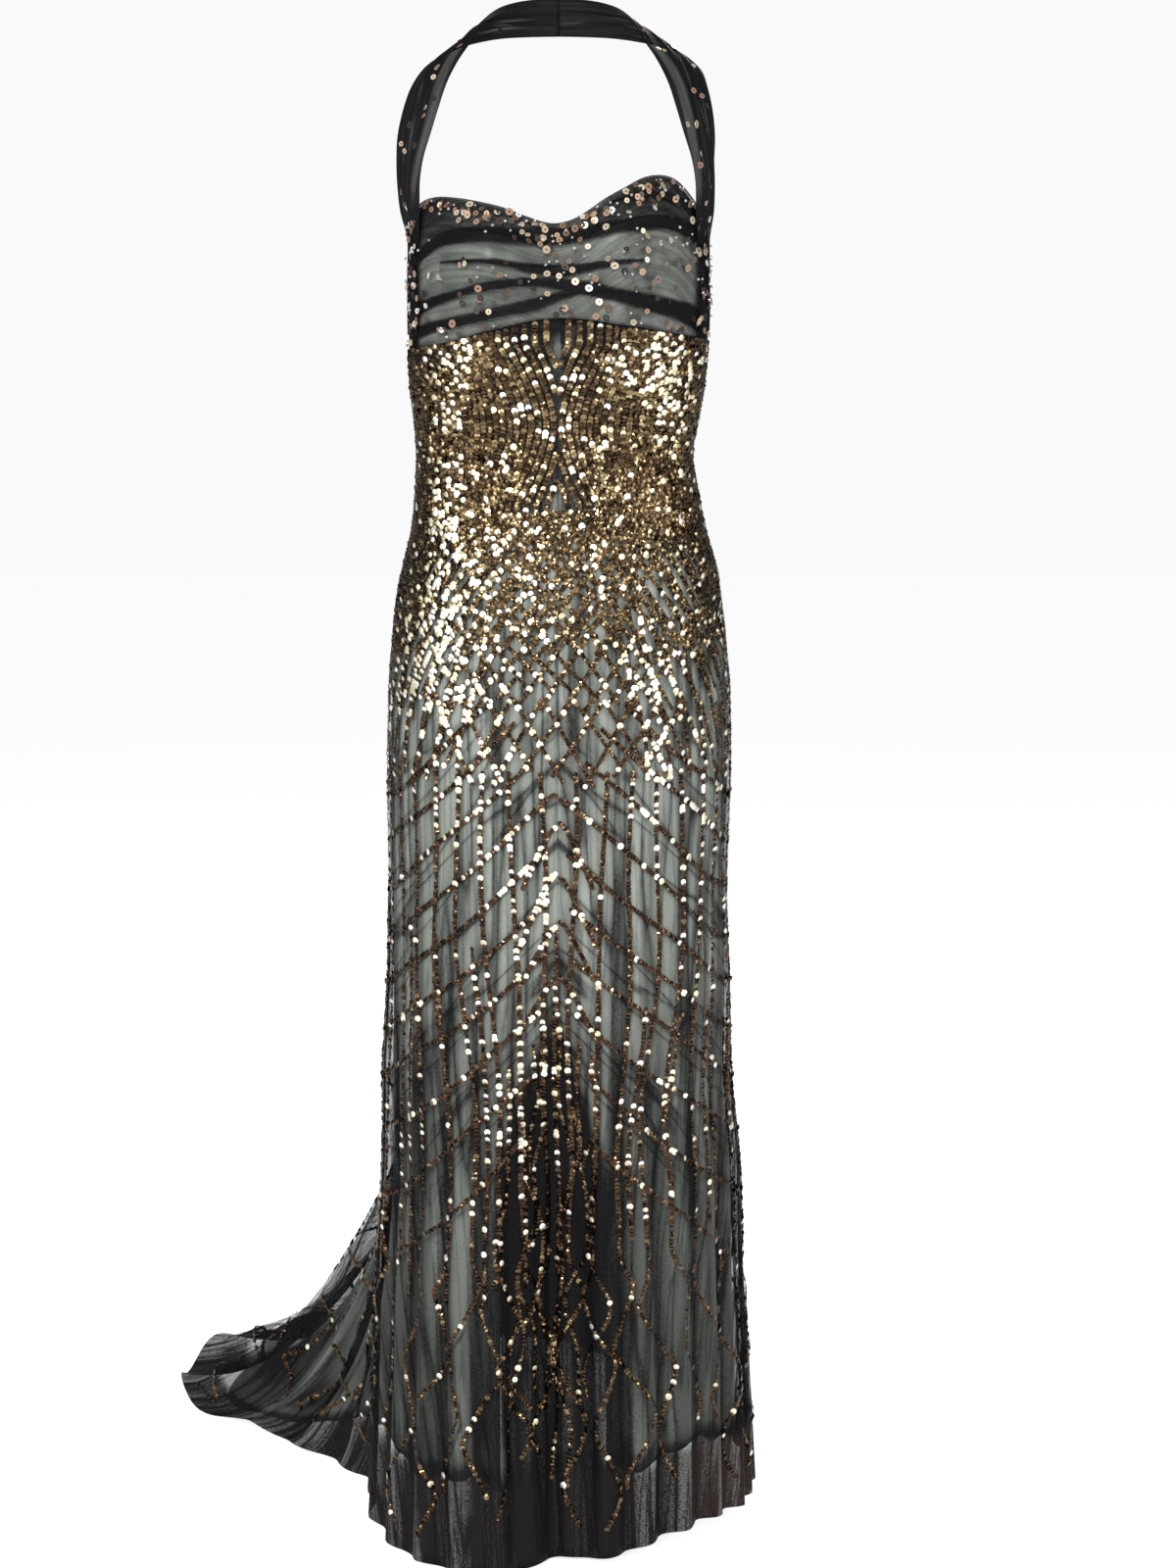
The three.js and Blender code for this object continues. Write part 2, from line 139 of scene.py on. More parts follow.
def body_point(angle, z):
    """The figure at an angle from the centre front and a height.

    A level outline made of four quarter ellipses, each with its own half width and depth. In front, a
    bell-shaped cup is pushed out on each side, fullest at its middle and fading towards the side seams.
    """
    sideways, forwards = sine(angle), np.cos(np.radians(angle))
    x = np.where(sideways < 0, along(BODY, "z", "right", z), along(BODY, "z", "left", z)) * sideways
    depth = np.where(forwards > 0, along(BODY, "z", "front", z), along(BODY, "z", "back", z)) * forwards
    reach = np.where(z > CUP["z"], CUP["above"], CUP["below"])
    bell = np.exp(-((np.abs(x) - CUP["x"]) / CUP["half_width"]) ** 2 - ((z - CUP["z"]) / reach) ** 2)
    cup = CUP["height"] * bell * np.sqrt(np.clip(forwards, 0, 1))
    return np.stack([x, AXIS_Y - depth - cup, z + 0 * x], axis=-1)


def bust_point(angle, down):
    """The bust at an angle and a share of the way down from the neckline to the under-bust seam."""
    top, bottom = along(NECKLINE, "angle", "z", angle), along(UNDER_BUST, "angle", "z", angle)
    return body_point(angle, top + (bottom - top) * down)


def outward(surface, across, down, step_across, step_down):
    """The direction off a surface: its downward step crossed with its step to the wearer's left."""
    leftward = surface(across + step_across, down) - surface(across - step_across, down)
    downward = surface(across, down + step_down) - surface(across, down - step_down)
    return unit(np.cross(downward, leftward))


def ridge(across, down, line):
    """One soft crease: a bell across it, which rises and dies away along its length, and may lean.

    The line gives its middle, where down the cloth it starts and ends, its half width, its height, which is
    negative for a trough, and how far it leans over its length.
    """
    middle, start, end, half_width, height, lean = line
    share = (down - start) / (end - start)
    fade = np.sin(np.pi * np.clip(share, 0, 1)) ** 0.8
    return height * fade * np.exp(-(((across - middle - lean * (share - 0.5)) / half_width) ** 2))


def build(name, points, faces, look, carried):
    """A mesh of points in millimetres, with its finish and the numbers it carries at its points."""
    mesh = bpy.data.meshes.new(name)
    mesh.from_pydata((points.reshape(-1, 3) * MM).tolist(), [], faces.tolist())
    mesh.materials.append(look)
    for label, values in carried.items():
        numbers = mesh.attributes.new(label, "FLOAT", "POINT").data
        numbers.foreach_set("value", values.ravel().astype(np.float32))
    piece = bpy.data.objects.new(name, mesh)
    bpy.context.collection.objects.link(piece)
    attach(piece, "root")
    return piece


def cloth(name, points, wall, look, carried):
    """A grid of points as a sheet of cloth that faces outwards, with a wall put on inwards.

    Its UV map, named cut, lays the sheet flat in metres: the length along each row and down each column.
    """
    lines, columns = points.shape[:2]
    corner = np.arange(lines * columns).reshape(lines, columns)
    faces = np.stack([corner[:-1, :-1], corner[1:, :-1], corner[1:, 1:], corner[:-1, 1:]], axis=-1)
    faces = faces.reshape(-1, 4)
    piece = build(name, points, faces, look, carried)
    over, fall = np.zeros((2, lines, columns))
    over[:, 1:] = np.cumsum(np.linalg.norm(np.diff(points, axis=1), axis=-1), axis=1) * MM
    over -= over[:, columns // 2][:, None]
    fall[1:] = np.cumsum(np.linalg.norm(np.diff(points, axis=0), axis=-1), axis=0) * MM
    flat = np.stack([over, -fall], axis=-1).reshape(-1, 2)
    piece.data.uv_layers.new(name="cut").data.foreach_set("uv", flat[faces.ravel()].ravel())
    piece.data.shade_smooth()
    solid = piece.modifiers.new("wall", "SOLIDIFY")
    solid.thickness = wall * MM
    solid.offset = -1
    return piece


class Value:
    """A number that changes over a surface: a shader socket on which arithmetic adds Math nodes."""

    def __init__(self, nodes, socket):
        self.nodes, self.socket = nodes, socket

    def math(self, operation, first, second):
        return self.nodes.node("ShaderNodeMath", {"operation": operation}, {0: first, 1: second})

    def __add__(self, other):
        return self.math("ADD", self, other)

    def __sub__(self, other):
        return self.math("SUBTRACT", self, other)

    def __rsub__(self, other):
        return self.math("SUBTRACT", other, self)

    def __mul__(self, other):
        return self.math("MULTIPLY", self, other)

    def __pow__(self, other):
        return self.math("POWER", self, other)

    def __abs__(self):
        return self.math("ABSOLUTE", self, 0.0)

    __radd__ = __add__
    __rmul__ = __mul__


class Nodes:
    """The nodes of one finish, each made from a type, its settings, and the values or links it takes."""

    def __init__(self, tree):
        self.tree = tree
        tree.nodes.clear()

    def node(self, kind, settings=None, sockets=None, out=0):
        made = self.tree.nodes.new(kind)
        for name, value in (settings or {}).items():
            setattr(made, name, value)
        for name, value in (sockets or {}).items():
            if isinstance(value, Value):
                self.tree.links.new(value.socket, made.inputs[name])
            else:
                made.inputs[name].default_value = value
        return Value(self, made.outputs[out]) if len(made.outputs) else made

    def ramp(self, value, stops):
        """The colour at a value, between stops that each have a place, from 0 to 1, and a colour."""
        colour = self.node("ShaderNodeValToRGB", {}, {"Fac": value})
        marks = colour.socket.node.color_ramp.elements
        for place, _ in stops[1:-1]:
            marks.new(place)
        for mark, (_, shade) in zip(marks, stops):
            mark.color = (*shade, 1)
        return colour

    def noise(self, where, scale, detail=2.0):
        """Smooth noise from 0 to 1 whose lumps have the given number to a metre in each direction."""
        moved = self.node("ShaderNodeMapping", {}, {"Vector": where, "Scale": scale})
        return self.node("ShaderNodeTexNoise", {}, {"Vector": moved, "Scale": 1.0, "Detail": detail})

    def wrinkles(self, where, scale, sharp, detail=2.0):
        """Thin wandering lines: 1 where smooth noise passes its middle, and thinner the sharper they are."""
        return (1.0 - abs(self.noise(where, scale, detail) * 2.0 - 1.0)) ** sharp

    def spread(self, value, low, high, to_low=0.0, to_high=1.0):
        """The value carried from one range to another and held at its ends."""
        places = {0: value, 1: low, 2: high, 3: to_low, 4: to_high}
        return self.node("ShaderNodeMapRange", {"clamp": True}, places)

    def blend(self, share, first, second):
        """One colour turning into another."""
        return self.node("ShaderNodeMix", {"data_type": "RGBA"}, {0: share, 6: first, 7: second}, out=2)

    def cut(self):
        """Where the point lies on the flat cloth, in metres."""
        return self.node("ShaderNodeUVMap", {"uv_map": "cut"})

    def carried(self, label):
        """A number that the mesh carries at its points."""
        return self.node("ShaderNodeAttribute", {"attribute_name": label}, out="Fac")

    def relief(self, strength, distance, height):
        return self.node("ShaderNodeBump", {}, {"Strength": strength, "Distance": distance, "Height": height})

    def threads(self, most, least):
        """How much of itself the net shows at a point: its own fine mesh, with holes of under 2 mm."""
        sockets = {"Vector": self.cut(), "Scale": 620.0}
        holes = self.node("ShaderNodeTexVoronoi", {"feature": "DISTANCE_TO_EDGE"}, sockets)
        return self.spread(holes, 0.04, 0.2, most, least)


def finish(name):
    """An empty material and its nodes."""
    material = bpy.data.materials.new(name)
    material.use_nodes = True
    return material, Nodes(material.node_tree)


def surface(nodes, sockets):
    """The finish's shader, joined to its output."""
    shader = nodes.node("ShaderNodeBsdfPrincipled", {}, sockets)
    nodes.node("ShaderNodeOutputMaterial", {}, {"Surface": shader})


satin, parts = finish("lining_satin")
# Painted sheen and shade: one stretched noise makes the satin's colour lighter and darker in vertical
# streaks, standing in for light on its soft folds; it also raises them as bumps and changes the roughness.
painted_sheen_and_bump = parts.noise(parts.cut(), (26.0, 3.0, 1.0))
crumple = parts.wrinkles(parts.cut(), (30.0, 12.0, 1.0), 5.0)
weave = parts.noise(parts.cut(), (900.0, 420.0, 1.0), 0.0)
height = painted_sheen_and_bump * 1.6 + crumple * 0.5 + weave * 0.08
surface(parts, {
    "Base Color": parts.blend(parts.spread(painted_sheen_and_bump, 0.3, 0.7), (0.26, 0.285, 0.25, 1), (0.50, 0.535, 0.48, 1)),
    "Roughness": parts.spread(painted_sheen_and_bump, 0.3, 0.7, 0.34, 0.48),
    "Sheen Weight": 0.15,
    "Sheen Roughness": 0.4,
    "Normal": parts.relief(0.5, 0.0015, height),
})

LINING_WALL = 0.8
BUST_LINING_DROP = 2.8
CUP_PUCKERS = [
    [-34, 0.05, 0.95, 2.2, -0.8, 4],
    [31, 0.08, 0.92, 2.4, -0.8, -3],
    [-62, 0.2, 1.0, 3.5, 0.9, 6],
    [66, 0.25, 1.0, 3.0, 0.8, -5],
    [2, 0.3, 1.0, 3.0, -1.0, 2],
]
BUST_EDGE = 90
PUCKER_ROOM = 0.6


def cup_point(angle, down):
    """The lining inside the drape: the bust moved in, with the cup seams drawn in as shallow troughs."""
    off = outward(bust_point, angle, down, 1.0, 0.02)
    puckers = sum(ridge(angle, down, line) for line in CUP_PUCKERS)
    return bust_point(angle, down) - off * (BUST_LINING_DROP + PUCKER_ROOM - puckers)[..., None]


angle, down = grid(-BUST_EDGE, BUST_EDGE, 101, 0.004, 0.996, 33)
bust_lining = cloth("bust_lining_satin", cup_point(angle, down), LINING_WALL, satin, {})
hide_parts("bust_lining")

# Skirt lining
# Two front and two back panels of the same satin, sewn into the under-bust seam and left open above the knee
# at centre front. They stop short of the net's hem, and stand off it by a few millimetres where it flares.

KNEE_Z = -900
FLOOR_Z = -1495
HEM = around(["angle", "x", "y", "clear", "train"], [
    [-170, -310, 560, 2, 1], [-160, -400, 490, 2, 1], [-150, -440, 390, 2, 1], [-140, -420, 270, 2, 1],
    [-130, -338, 196, 2, 0.9], [-115, -272, 134, 2, 0.6], [-100, -216, 72, 2, 0.25],
    [-90, -194, 28, 3, 0.1], [-75, -184, -44, 3, 0], [-60, -164, -118, 2, 0], [-45, -128, -170, 2, 0],
    [-30, -86, -198, 2, 0], [-15, -42, -208, 2, 0], [0, 4, -200, 3, 0], [15, 50, -178, 8, 0],
    [30, 92, -146, 14, 0], [45, 132, -112, 18, 0], [60, 164, -76, 16, 0], [75, 184, -34, 12, 0],
    [90, 192, 14, 8, 0.05], [105, 194, 78, 4, 0.2], [120, 184, 170, 3, 0.45], [130, 162, 262, 2, 0.7],
    [140, 126, 352, 2, 0.9], [150, 70, 446, 2, 1], [160, 0, 528, 2, 1], [170, -92, 578, 2, 1],
    [180, -200, 590, 2, 1],
])
FLARE_POWER = {"straight": 2.4, "train": 0.8}
VALLEY = {"angle": -2, "half_angle": 11.5, "depth": 40, "top": 0.85, "full": 1.6}
LINING_DROP = 1.8
LINING_SLACK = {"straight": 6, "train": 4}
LINING_HEM = 1.88
SLIT = {"top": 1.12, "full": 1.7, "right": -18, "left": 14}
INSIDE_ENDS = (0.02, 1.97)


def skirt_base(angle, level):
    """The skirt before its folds: level 0 is the under-bust seam, 1 the knee and 2 the hem.

    Down to the knee it follows the figure. Below, each line of the cloth swings out along a cosine to its
    own place in the hem table, and comes down along a sine where that table calls for a train. A deep valley
    opens between the knees at centre front.
    """
    top = along(UNDER_BUST, "angle", "z", angle)
    upper = np.clip(level, 0, 1)
    run = np.clip(level - 1, 0, 1)
    train = along(HEM, "angle", "train", angle)
    low = FLOOR_Z + along(HEM, "angle", "clear", angle)
    fall = run + (np.sin(run * np.pi / 2) - run) * train
    z = np.where(level <= 1, top + (KNEE_Z - top) * upper, KNEE_Z + (low - KNEE_Z) * fall)
    point = body_point(angle, z)
    end = body_point(angle, FLOOR_Z + 0 * z)
    power = FLARE_POWER["straight"] + (FLARE_POWER["train"] - FLARE_POWER["straight"]) * train
    out = np.clip(1 - np.cos(run * np.pi / 2), 0, 1) ** power
    point[..., 0] += out * (along(HEM, "angle", "x", angle) - end[..., 0])
    point[..., 1] += out * (along(HEM, "angle", "y", angle) + AXIS_Y - end[..., 1])
    bell = np.exp(-(((angle - VALLEY["angle"]) / VALLEY["half_angle"]) ** 2))
    point[..., 1] += VALLEY["depth"] * smoothstep(level, VALLEY["top"], VALLEY["full"]) * bell
    return point


def skirt_out(angle, level):
    """The direction off the skirt, taken a little inside its two ends."""
    return outward(skirt_base, angle, np.clip(level, *INSIDE_ENDS), 1.0, 0.02)


LINING_CREASES = [
    [-27, 0.5, 2.2, 2.4, 5.0, -2], [-34, 0.7, 2.1, 2.2, -4.0, 3], [-46, 0.55, 2.0, 3.4, 4.0, 4],
    [-60, 0.4, 2.0, 4.0, -4.0, -3], [-74, 0.6, 2.1, 3.6, 4.0, 2], [24, 0.6, 2.2, 2.6, 4.5, 3],
    [33, 0.5, 2.0, 3.0, -4.0, -3], [47, 0.6, 2.1, 3.4, 4.0, 4], [62, 0.45, 2.0, 3.8, -3.6, -4],
    [78, 0.7, 2.1, 3.2, 3.6, 3], [-8, 0.35, 1.0, 3.0, -2.0, 4], [9, 0.3, 1.0, 3.4, 2.0, -3],
    [104, 0.5, 2.1, 4.0, 5.0, 4], [118, 0.6, 2.1, 3.6, -5.0, -4], [131, 0.45, 2.1, 4.4, 6.0, 5],
    [146, 0.6, 2.1, 4.0, -5.0, 3], [161, 0.5, 2.1, 4.2, 6.0, -4], [172, 0.7, 2.1, 3.0, -4.0, 2],
    [-104, 0.6, 2.1, 4.0, 5.0, -4], [-117, 0.5, 2.1, 3.6, -5.0, 4], [-131, 0.6, 2.1, 4.2, 6.0, -5],
    [-145, 0.5, 2.1, 4.0, -5.0, 3], [-160, 0.65, 2.1, 4.4, 6.0, 4], [-173, 0.5, 2.1, 3.0, -4.0, -2],
]


def lining_point(angle, level):
    """The lining: the skirt moved in by its drop, and below the hips by its slack, with its own creases."""
    train = along(HEM, "angle", "train", angle)
    slack = LINING_SLACK["straight"] + (LINING_SLACK["train"] - LINING_SLACK["straight"]) * train
    creases = sum(ridge(angle, level, line) for line in LINING_CREASES)
    inside = LINING_DROP + PUCKER_ROOM + slack * smoothstep(level, 0.9, 1.3) - np.minimum(creases, 0) * 0.9
    inside -= np.clip(creases, 0, 4) * 0.9 * smoothstep(level, 0.95, 1.3)
    return skirt_base(angle, level) - skirt_out(angle, level) * inside[..., None]


HEM_DIP = 0.014


def lining_hem(angle):
    """The level of the lining's hem, which dips and rises a little all round."""
    return LINING_HEM - HEM_DIP * (0.4 + 0.6 * sine(angle * 9) + 0.4 * sine(angle * 23))


LINING_PANELS = [
    ["lining_front_left", 0, 90, "left", (0.30, 1.14), 0.235],
    ["lining_front_right", -90, 0, "right", (0.30, 1.14), 0.235],
    ["lining_back_left", 90, 180, None, (0.72, 1.36), 0.360],
    ["lining_back_right", -180, -90, None, (0.72, 1.36), 0.360],
]

for name, first, last, slit, flat, area in LINING_PANELS:
    share, depth = grid(0, 1, 71, 0.006, 1, 81)
    open_by = smoothstep(depth * LINING_HEM, SLIT["top"], SLIT["full"])
    low_angle, high_angle = first + 0 * depth, last + 0 * depth
    if slit == "left":
        low_angle = np.maximum(first, SLIT["left"] * open_by)
    if slit == "right":
        high_angle = np.minimum(last, SLIT["right"] * open_by)
    angle = low_angle + (high_angle - low_angle) * share
    points = lining_point(angle, depth * lining_hem(angle))
    panel = cloth(name + "_satin", points, LINING_WALL, satin, {})
    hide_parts(name)

# Net skirt
# Fine black net, cut as one front panel and two back panels with the train, and gathered by its beading into
# soft lengthwise folds. It is sewn into the under-bust seam and closed at the sides and the centre back.

SKIRT_FOLDS = rows(["angle", "depth", "top"], [
    [-184, 24, 1.05], [-170, 34, 0.95], [-157, 40, 1], [-144, 36, 0.9], [-130, 30, 1.05],
    [-116, 20, 0.95], [-101, 11, 1], [-86, 9, 0.95], [-72, 12, 0.8], [-58, 9, 1], [-45, 13, 0.85],
    [-32, 11, 1.05], [-20, 14, 0.9], [-9, 8, 1.1], [2, 9, 1.15], [14, 13, 0.9], [27, 11, 1.05],
    [40, 14, 0.8], [54, 10, 1], [68, 12, 0.9], [82, 9, 0.95], [96, 11, 1], [110, 14, 0.95],
    [124, 18, 1.05], [137, 22, 0.95], [150, 26, 1], [163, 22, 0.9], [176, 24, 1.05], [190, 34, 0.95],
])
# Each row: middle angle, level where it starts and ends, half width in degrees, height, lean in degrees.
NET_CREASES = [
    [-79, 0.55, 2.2, 1.7, 3.2, 3], [-66, 0.62, 2.3, 1.5, -2.6, -2], [-53, 0.5, 2.2, 1.6, 3.0, 4],
    [-39, 0.58, 2.2, 1.4, -2.8, -3], [-27, 0.7, 2.2, 1.5, 3.0, 2], [-15, 0.75, 2.3, 1.3, -2.6, 3],
    [-5, 0.9, 2.2, 1.4, 3.0, -2], [6, 0.85, 2.2, 1.3, -2.6, 2], [19, 0.66, 2.2, 1.6, 3.0, -3],
    [31, 0.56, 2.2, 1.4, -2.8, 4], [46, 0.6, 2.2, 1.6, 3.2, -4], [60, 0.52, 2.2, 1.5, -2.8, 3],
    [74, 0.6, 2.2, 1.8, 3.0, -2], [86, 0.7, 2.2, 1.4, -2.4, 2], [99, 0.6, 2.1, 1.8, 4.0, 3],
    [112, 0.5, 2.1, 1.6, -3.6, -3], [121, 0.7, 2.1, 1.7, 5.0, 4], [131, 0.6, 2.1, 1.5, -4.0, -2],
    [142, 0.55, 2.1, 1.8, 5.0, 3], [153, 0.65, 2.1, 1.5, -4.4, -4], [163, 0.6, 2.1, 1.7, 5.0, 2],
    [173, 0.5, 2.1, 1.5, -4.0, 2], [-96, 0.6, 2.1, 1.8, 4.0, -3], [-108, 0.5, 2.1, 1.6, -3.6, 3],
    [-119, 0.66, 2.1, 1.7, 5.0, -4], [-129, 0.6, 2.1, 1.5, -4.4, 3], [-140, 0.55, 2.1, 1.8, 5.4, -3],
    [-151, 0.65, 2.1, 1.5, -5.0, 4], [-162, 0.6, 2.1, 1.7, 5.0, -2], [-173, 0.5, 2.1, 1.5, -4.0, -2],
]
NET_WALL = 0.4


def fold_wave(angle):
    """1 on the crest of each fold and 0 in the troughs between them."""
    number = np.interp(angle, SKIRT_FOLDS["angle"], np.arange(len(SKIRT_FOLDS["angle"])))
    return 0.5 + 0.5 * np.cos(2 * np.pi * number)


def fold_height(angle, level):
    """How far the net's folds stand out: a raised cosine that grows from each fold's top to the hem."""
    depth = np.interp(angle, SKIRT_FOLDS["angle"], SKIRT_FOLDS["depth"])
    top = np.interp(angle, SKIRT_FOLDS["angle"], SKIRT_FOLDS["top"])
    train = along(HEM, "angle", "train", angle)
    flattened = 0.5 * train * smoothstep(level, 1.8, 2)
    return depth * fold_wave(angle) * smoothstep(level, top, 2.1) * (1 - flattened)


def net_point(angle, level):
    """The net: the skirt with its folds and its fine creases standing off it, never inside it."""
    creases = sum(ridge(angle, level, line) for line in NET_CREASES)
    folds = fold_height(angle, level)
    lift = folds + np.maximum(creases * smoothstep(level, 0.5, 1.2), -0.4 - 0.6 * folds)
    return skirt_base(angle, level) + skirt_out(angle, level) * lift[..., None]


BARE_LEVELS = [0.045, 0.29]
LEAST_COVER = 0.12
WAIST_COVER = 0.40
MOST_COVER = 0.92


def net_density(angle, level):
    """How much the net hides: more at the waist and past the lining's hem, and more in the troughs, between
    the knees and towards the hem, where it is partly gathered net and partly painted shade.
    """
    train = along(HEM, "angle", "train", angle)
    trough = 1 - fold_wave(angle)
    opening = 3 + 17 * smoothstep(level, 1.08, 1.5)
    bell = np.exp(-(((angle - VALLEY["angle"]) / opening) ** 6))
    low = smoothstep(level, 0.95, 1.7)
    pleats = sum(np.abs(ridge(angle, level, line)) for line in NET_CREASES) * 0.06
    waist = 1 - smoothstep(level, 0.28, 0.37)
    bare = sum(np.exp(-((angle / 5) ** 2) - ((level - at) / 0.03) ** 2) for at in BARE_LEVELS)
    # Partly painted shade: below the knee the net grows denser downwards and in the troughs of its folds, for
    # gathered net and for the shade that falls there.
    dense = LEAST_COVER + waist * (WAIST_COVER - 0.30 * np.clip(bare, 0, 1)) + low * (0.10 + 0.26 * trough**2)
    dense += pleats * smoothstep(level, 0.6, 1.2)
    hem = lining_hem(angle)
    # Partly painted shade: between the knees the net is made much denser, as gathered net and as a dark sheet
    # where the valley lies in shade.
    dense += 0.6 * bell * smoothstep(level, 1.04, 1.3) + 0.4 * smoothstep(level, hem - 0.035, hem)
    return np.clip(dense - 0.06 * train * low, 0, MOST_COVER)


def painted_crease_shade_zone(angle, level):
    """Where the net carries slanting lines of painted crease shade below the chevrons of beading: over the
    thighs and the knees.
    """
    return smoothstep(level, 0.55, 0.75) * (1 - smoothstep(level, 1.25, 1.5))


def net_surface(parts, colour, specular, hide, strength, relief):
    """Matt thread that hides what is behind it as far as its density says."""
    surface(parts, {
        "Base Color": colour,
        "Roughness": 0.6,
        "Specular IOR Level": specular,
        "Alpha": parts.spread(hide, 0.0, 1.0),
        "Normal": parts.relief(strength, 0.001, relief),
    })


NET_BLACK = (0.0035, 0.0035, 0.004, 1)
NET_BROWN = (0.022, 0.014, 0.011, 1)
CHEVRON_SLOPE = 0.88
black_net, parts = finish("black_net")
cut = parts.cut()
over = parts.node("ShaderNodeSeparateXYZ", {}, {"Vector": cut}, out="X")
fall = parts.node("ShaderNodeSeparateXYZ", {}, {"Vector": cut}, out="Y")
slant = parts.node("ShaderNodeCombineXYZ", {}, {"X": abs(over), "Y": fall + abs(over) * CHEVRON_SLOPE})
long_lines = parts.wrinkles(cut, (34.0, 2.6, 1.0), 22.0, 1.0)
fine_lines = parts.wrinkles(cut, (95.0, 6.0, 1.0), 14.0, 1.0)
# Painted shade: dark slanting lines under the chevrons make the net more opaque, standing in for the shade in
# its pulled creases.
painted_crease_shade_lines = parts.wrinkles(slant, (5.0, 26.0, 1.0), 40.0, 1.0)
cover = parts.carried("dense")
lines = long_lines * 0.5 + fine_lines * 0.25 + painted_crease_shade_lines * parts.carried("painted_crease_shade") * 0.5
hide = (cover + lines * (0.5 + cover)) * parts.threads(1.25, 0.8)
colour = parts.blend(parts.carried("warm"), NET_BLACK, NET_BROWN)
net_surface(parts, colour, specular=0.08, hide=hide, strength=0.5, relief=long_lines + fine_lines * 0.5)

NET_PANELS = [
    ["skirt_front", -90, 90, 221, (0.78, 1.24), 0.60],
    ["skirt_back_left", 90, 180, 111, (0.82, 1.43), 0.42],
    ["skirt_back_right", -180, -90, 121, (0.84, 1.45), 0.45],
]

for name, first, last, count, flat, area in NET_PANELS:
    angle, level = grid(first, last, count, 0, 2, 141)
    past = smoothstep(level, lining_hem(angle) - 0.01, lining_hem(angle) + 0.01)
    warm = past * (0.15 + 0.85 * np.exp(-(((angle - 72) / 30) ** 4)))
    carried = {"dense": net_density(angle, level), "painted_crease_shade": painted_crease_shade_zone(angle, level), "warm": warm}
    panel = cloth(name + "_net", net_point(angle, level), NET_WALL, black_net, carried)
    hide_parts(name)

# Bust drape
# A second net, gathered by hand into long soft folds that cross the bust from side to side. Where the folds
# lie on each other it turns nearly black, and between them the lining shows.

BUST_FOLDS = [
    [0.1, 0.042, 2.2, 0, 62], [0.27, 0.06, 3.4, 4, 66], [0.5, 0.055, 3.2, -6, 50], [0.7, 0.052, 2.8, 2, 64],
    [0.88, 0.048, 3.0, -4, 66],
]
BUST_FOLD_END = 64
# Each dark band, from the wearer's right to the left: rows of angle, height and half width.
BUST_BANDS = [
    [
        [-92, -256, 8], [-70, -243, 6], [-46, -227, 7], [0, -227, 9], [26, -218, 7], [52, -213, 8],
        [92, -246, 9],
    ],
    [[-50, -250, 0.8], [-25, -252, 2.5], [-10, -257, 4.5], [3, -259, 5.5], [15, -255, 3.5], [36, -250, 0.8]],
    [
        [-92, -302, 9], [-46, -282, 4], [-12, -270, 4], [10, -275, 7], [27, -284, 7], [52, -294, 10],
        [92, -310, 18],
    ],
    [[-70, -314, 6], [-38, -304, 5], [-20, -296, 5], [-8, -290, 6], [2, -282, 4], [14, -276, 0.8]],
    [[20, -196, 1], [36, -188, 4], [52, -190, 5], [70, -205, 6], [92, -225, 8]],
]
SINGLE_COVER = 0.17
UPPER_COVER = 0.36
BAND_COVER = 0.70
SIDE_COVER = 0.80
EDGE_COVER = 0.55
FINE_FOLDS = 17


def bust_fold_height(angle, down):
    """How far the drape's folds stand out: each is a bell down the bust, which narrows to its two ends."""
    height = 0 * angle
    for middle, spread, size, centre, reach in BUST_FOLDS:
        end = min(reach, BUST_FOLD_END - abs(centre))
        along_fold = np.clip(np.abs(angle - centre) / end, 0, 1)
        height += size * np.cos(along_fold * np.pi / 2) ** 0.7 * np.exp(-(((down - middle) / spread) ** 2))
    return height


def off_bust(angle, down, lift):
    """The bust with something standing off it, by a height at each point."""
    off = outward(bust_point, angle, np.clip(down, 0.02, 0.98), 1.0, 0.02)
    return bust_point(angle, down) + off * lift[..., None]


def drape_point(angle, down):
    """The drape: the bust with its long folds, and fine ones that wander and fade to the sides."""
    wander = down + 0.02 * sine(angle * 3 + 20) + 0.013 * sine(angle * 7)
    fine = 0.35 * (1 + np.cos(2 * np.pi * FINE_FOLDS * wander)) * (0.6 + 0.4 * sine(90 - angle * 1.4))
    fine *= smoothstep(down, 0, 0.08) * (1 - smoothstep(down, 0.92, 1))
    return off_bust(angle, down, bust_fold_height(angle, down) + fine)


def drape_density(angle, down):
    """How much the drape hides: it is doubled above the first band, and darker still in each band.

    A band has crisp edges, because it is where the net is folded over itself. The sides are dark below.
    """
    z = bust_point(angle, down)[..., 2]
    bands = [rows(["angle", "z", "half_width"], band) for band in BUST_BANDS]
    first = along(bands[0], "angle", "z", angle)
    dense = SINGLE_COVER + (UPPER_COVER - SINGLE_COVER) * smoothstep(z, first - 2, first + 2)
    for band in bands:
        inside = (angle > band["angle"][0]) & (angle < band["angle"][-1])
        offset = (z - along(band, "angle", "z", angle)) / along(band, "angle", "half_width", angle)
        dense = np.maximum(dense, BAND_COVER * inside * np.exp(-(np.abs(offset) ** 5)))
    dense = np.maximum(dense, SIDE_COVER * smoothstep(np.abs(angle), 62, 76) * smoothstep(down, 0.2, 0.7))
    return np.maximum(dense, EDGE_COVER * (1 - smoothstep(down, 0.005, 0.025)))


cross_net, parts = finish("drape_net")
cross_lines = parts.wrinkles(parts.cut(), (7.0, 110.0, 1.0), 4.0, 3.0)
cover = parts.carried("dense")
hide = (cover + cross_lines * 0.34 * (0.4 + cover)) * parts.threads(1.2, 0.85)
net_surface(parts, NET_BLACK, specular=0.08, hide=hide, strength=0.5, relief=cross_lines)

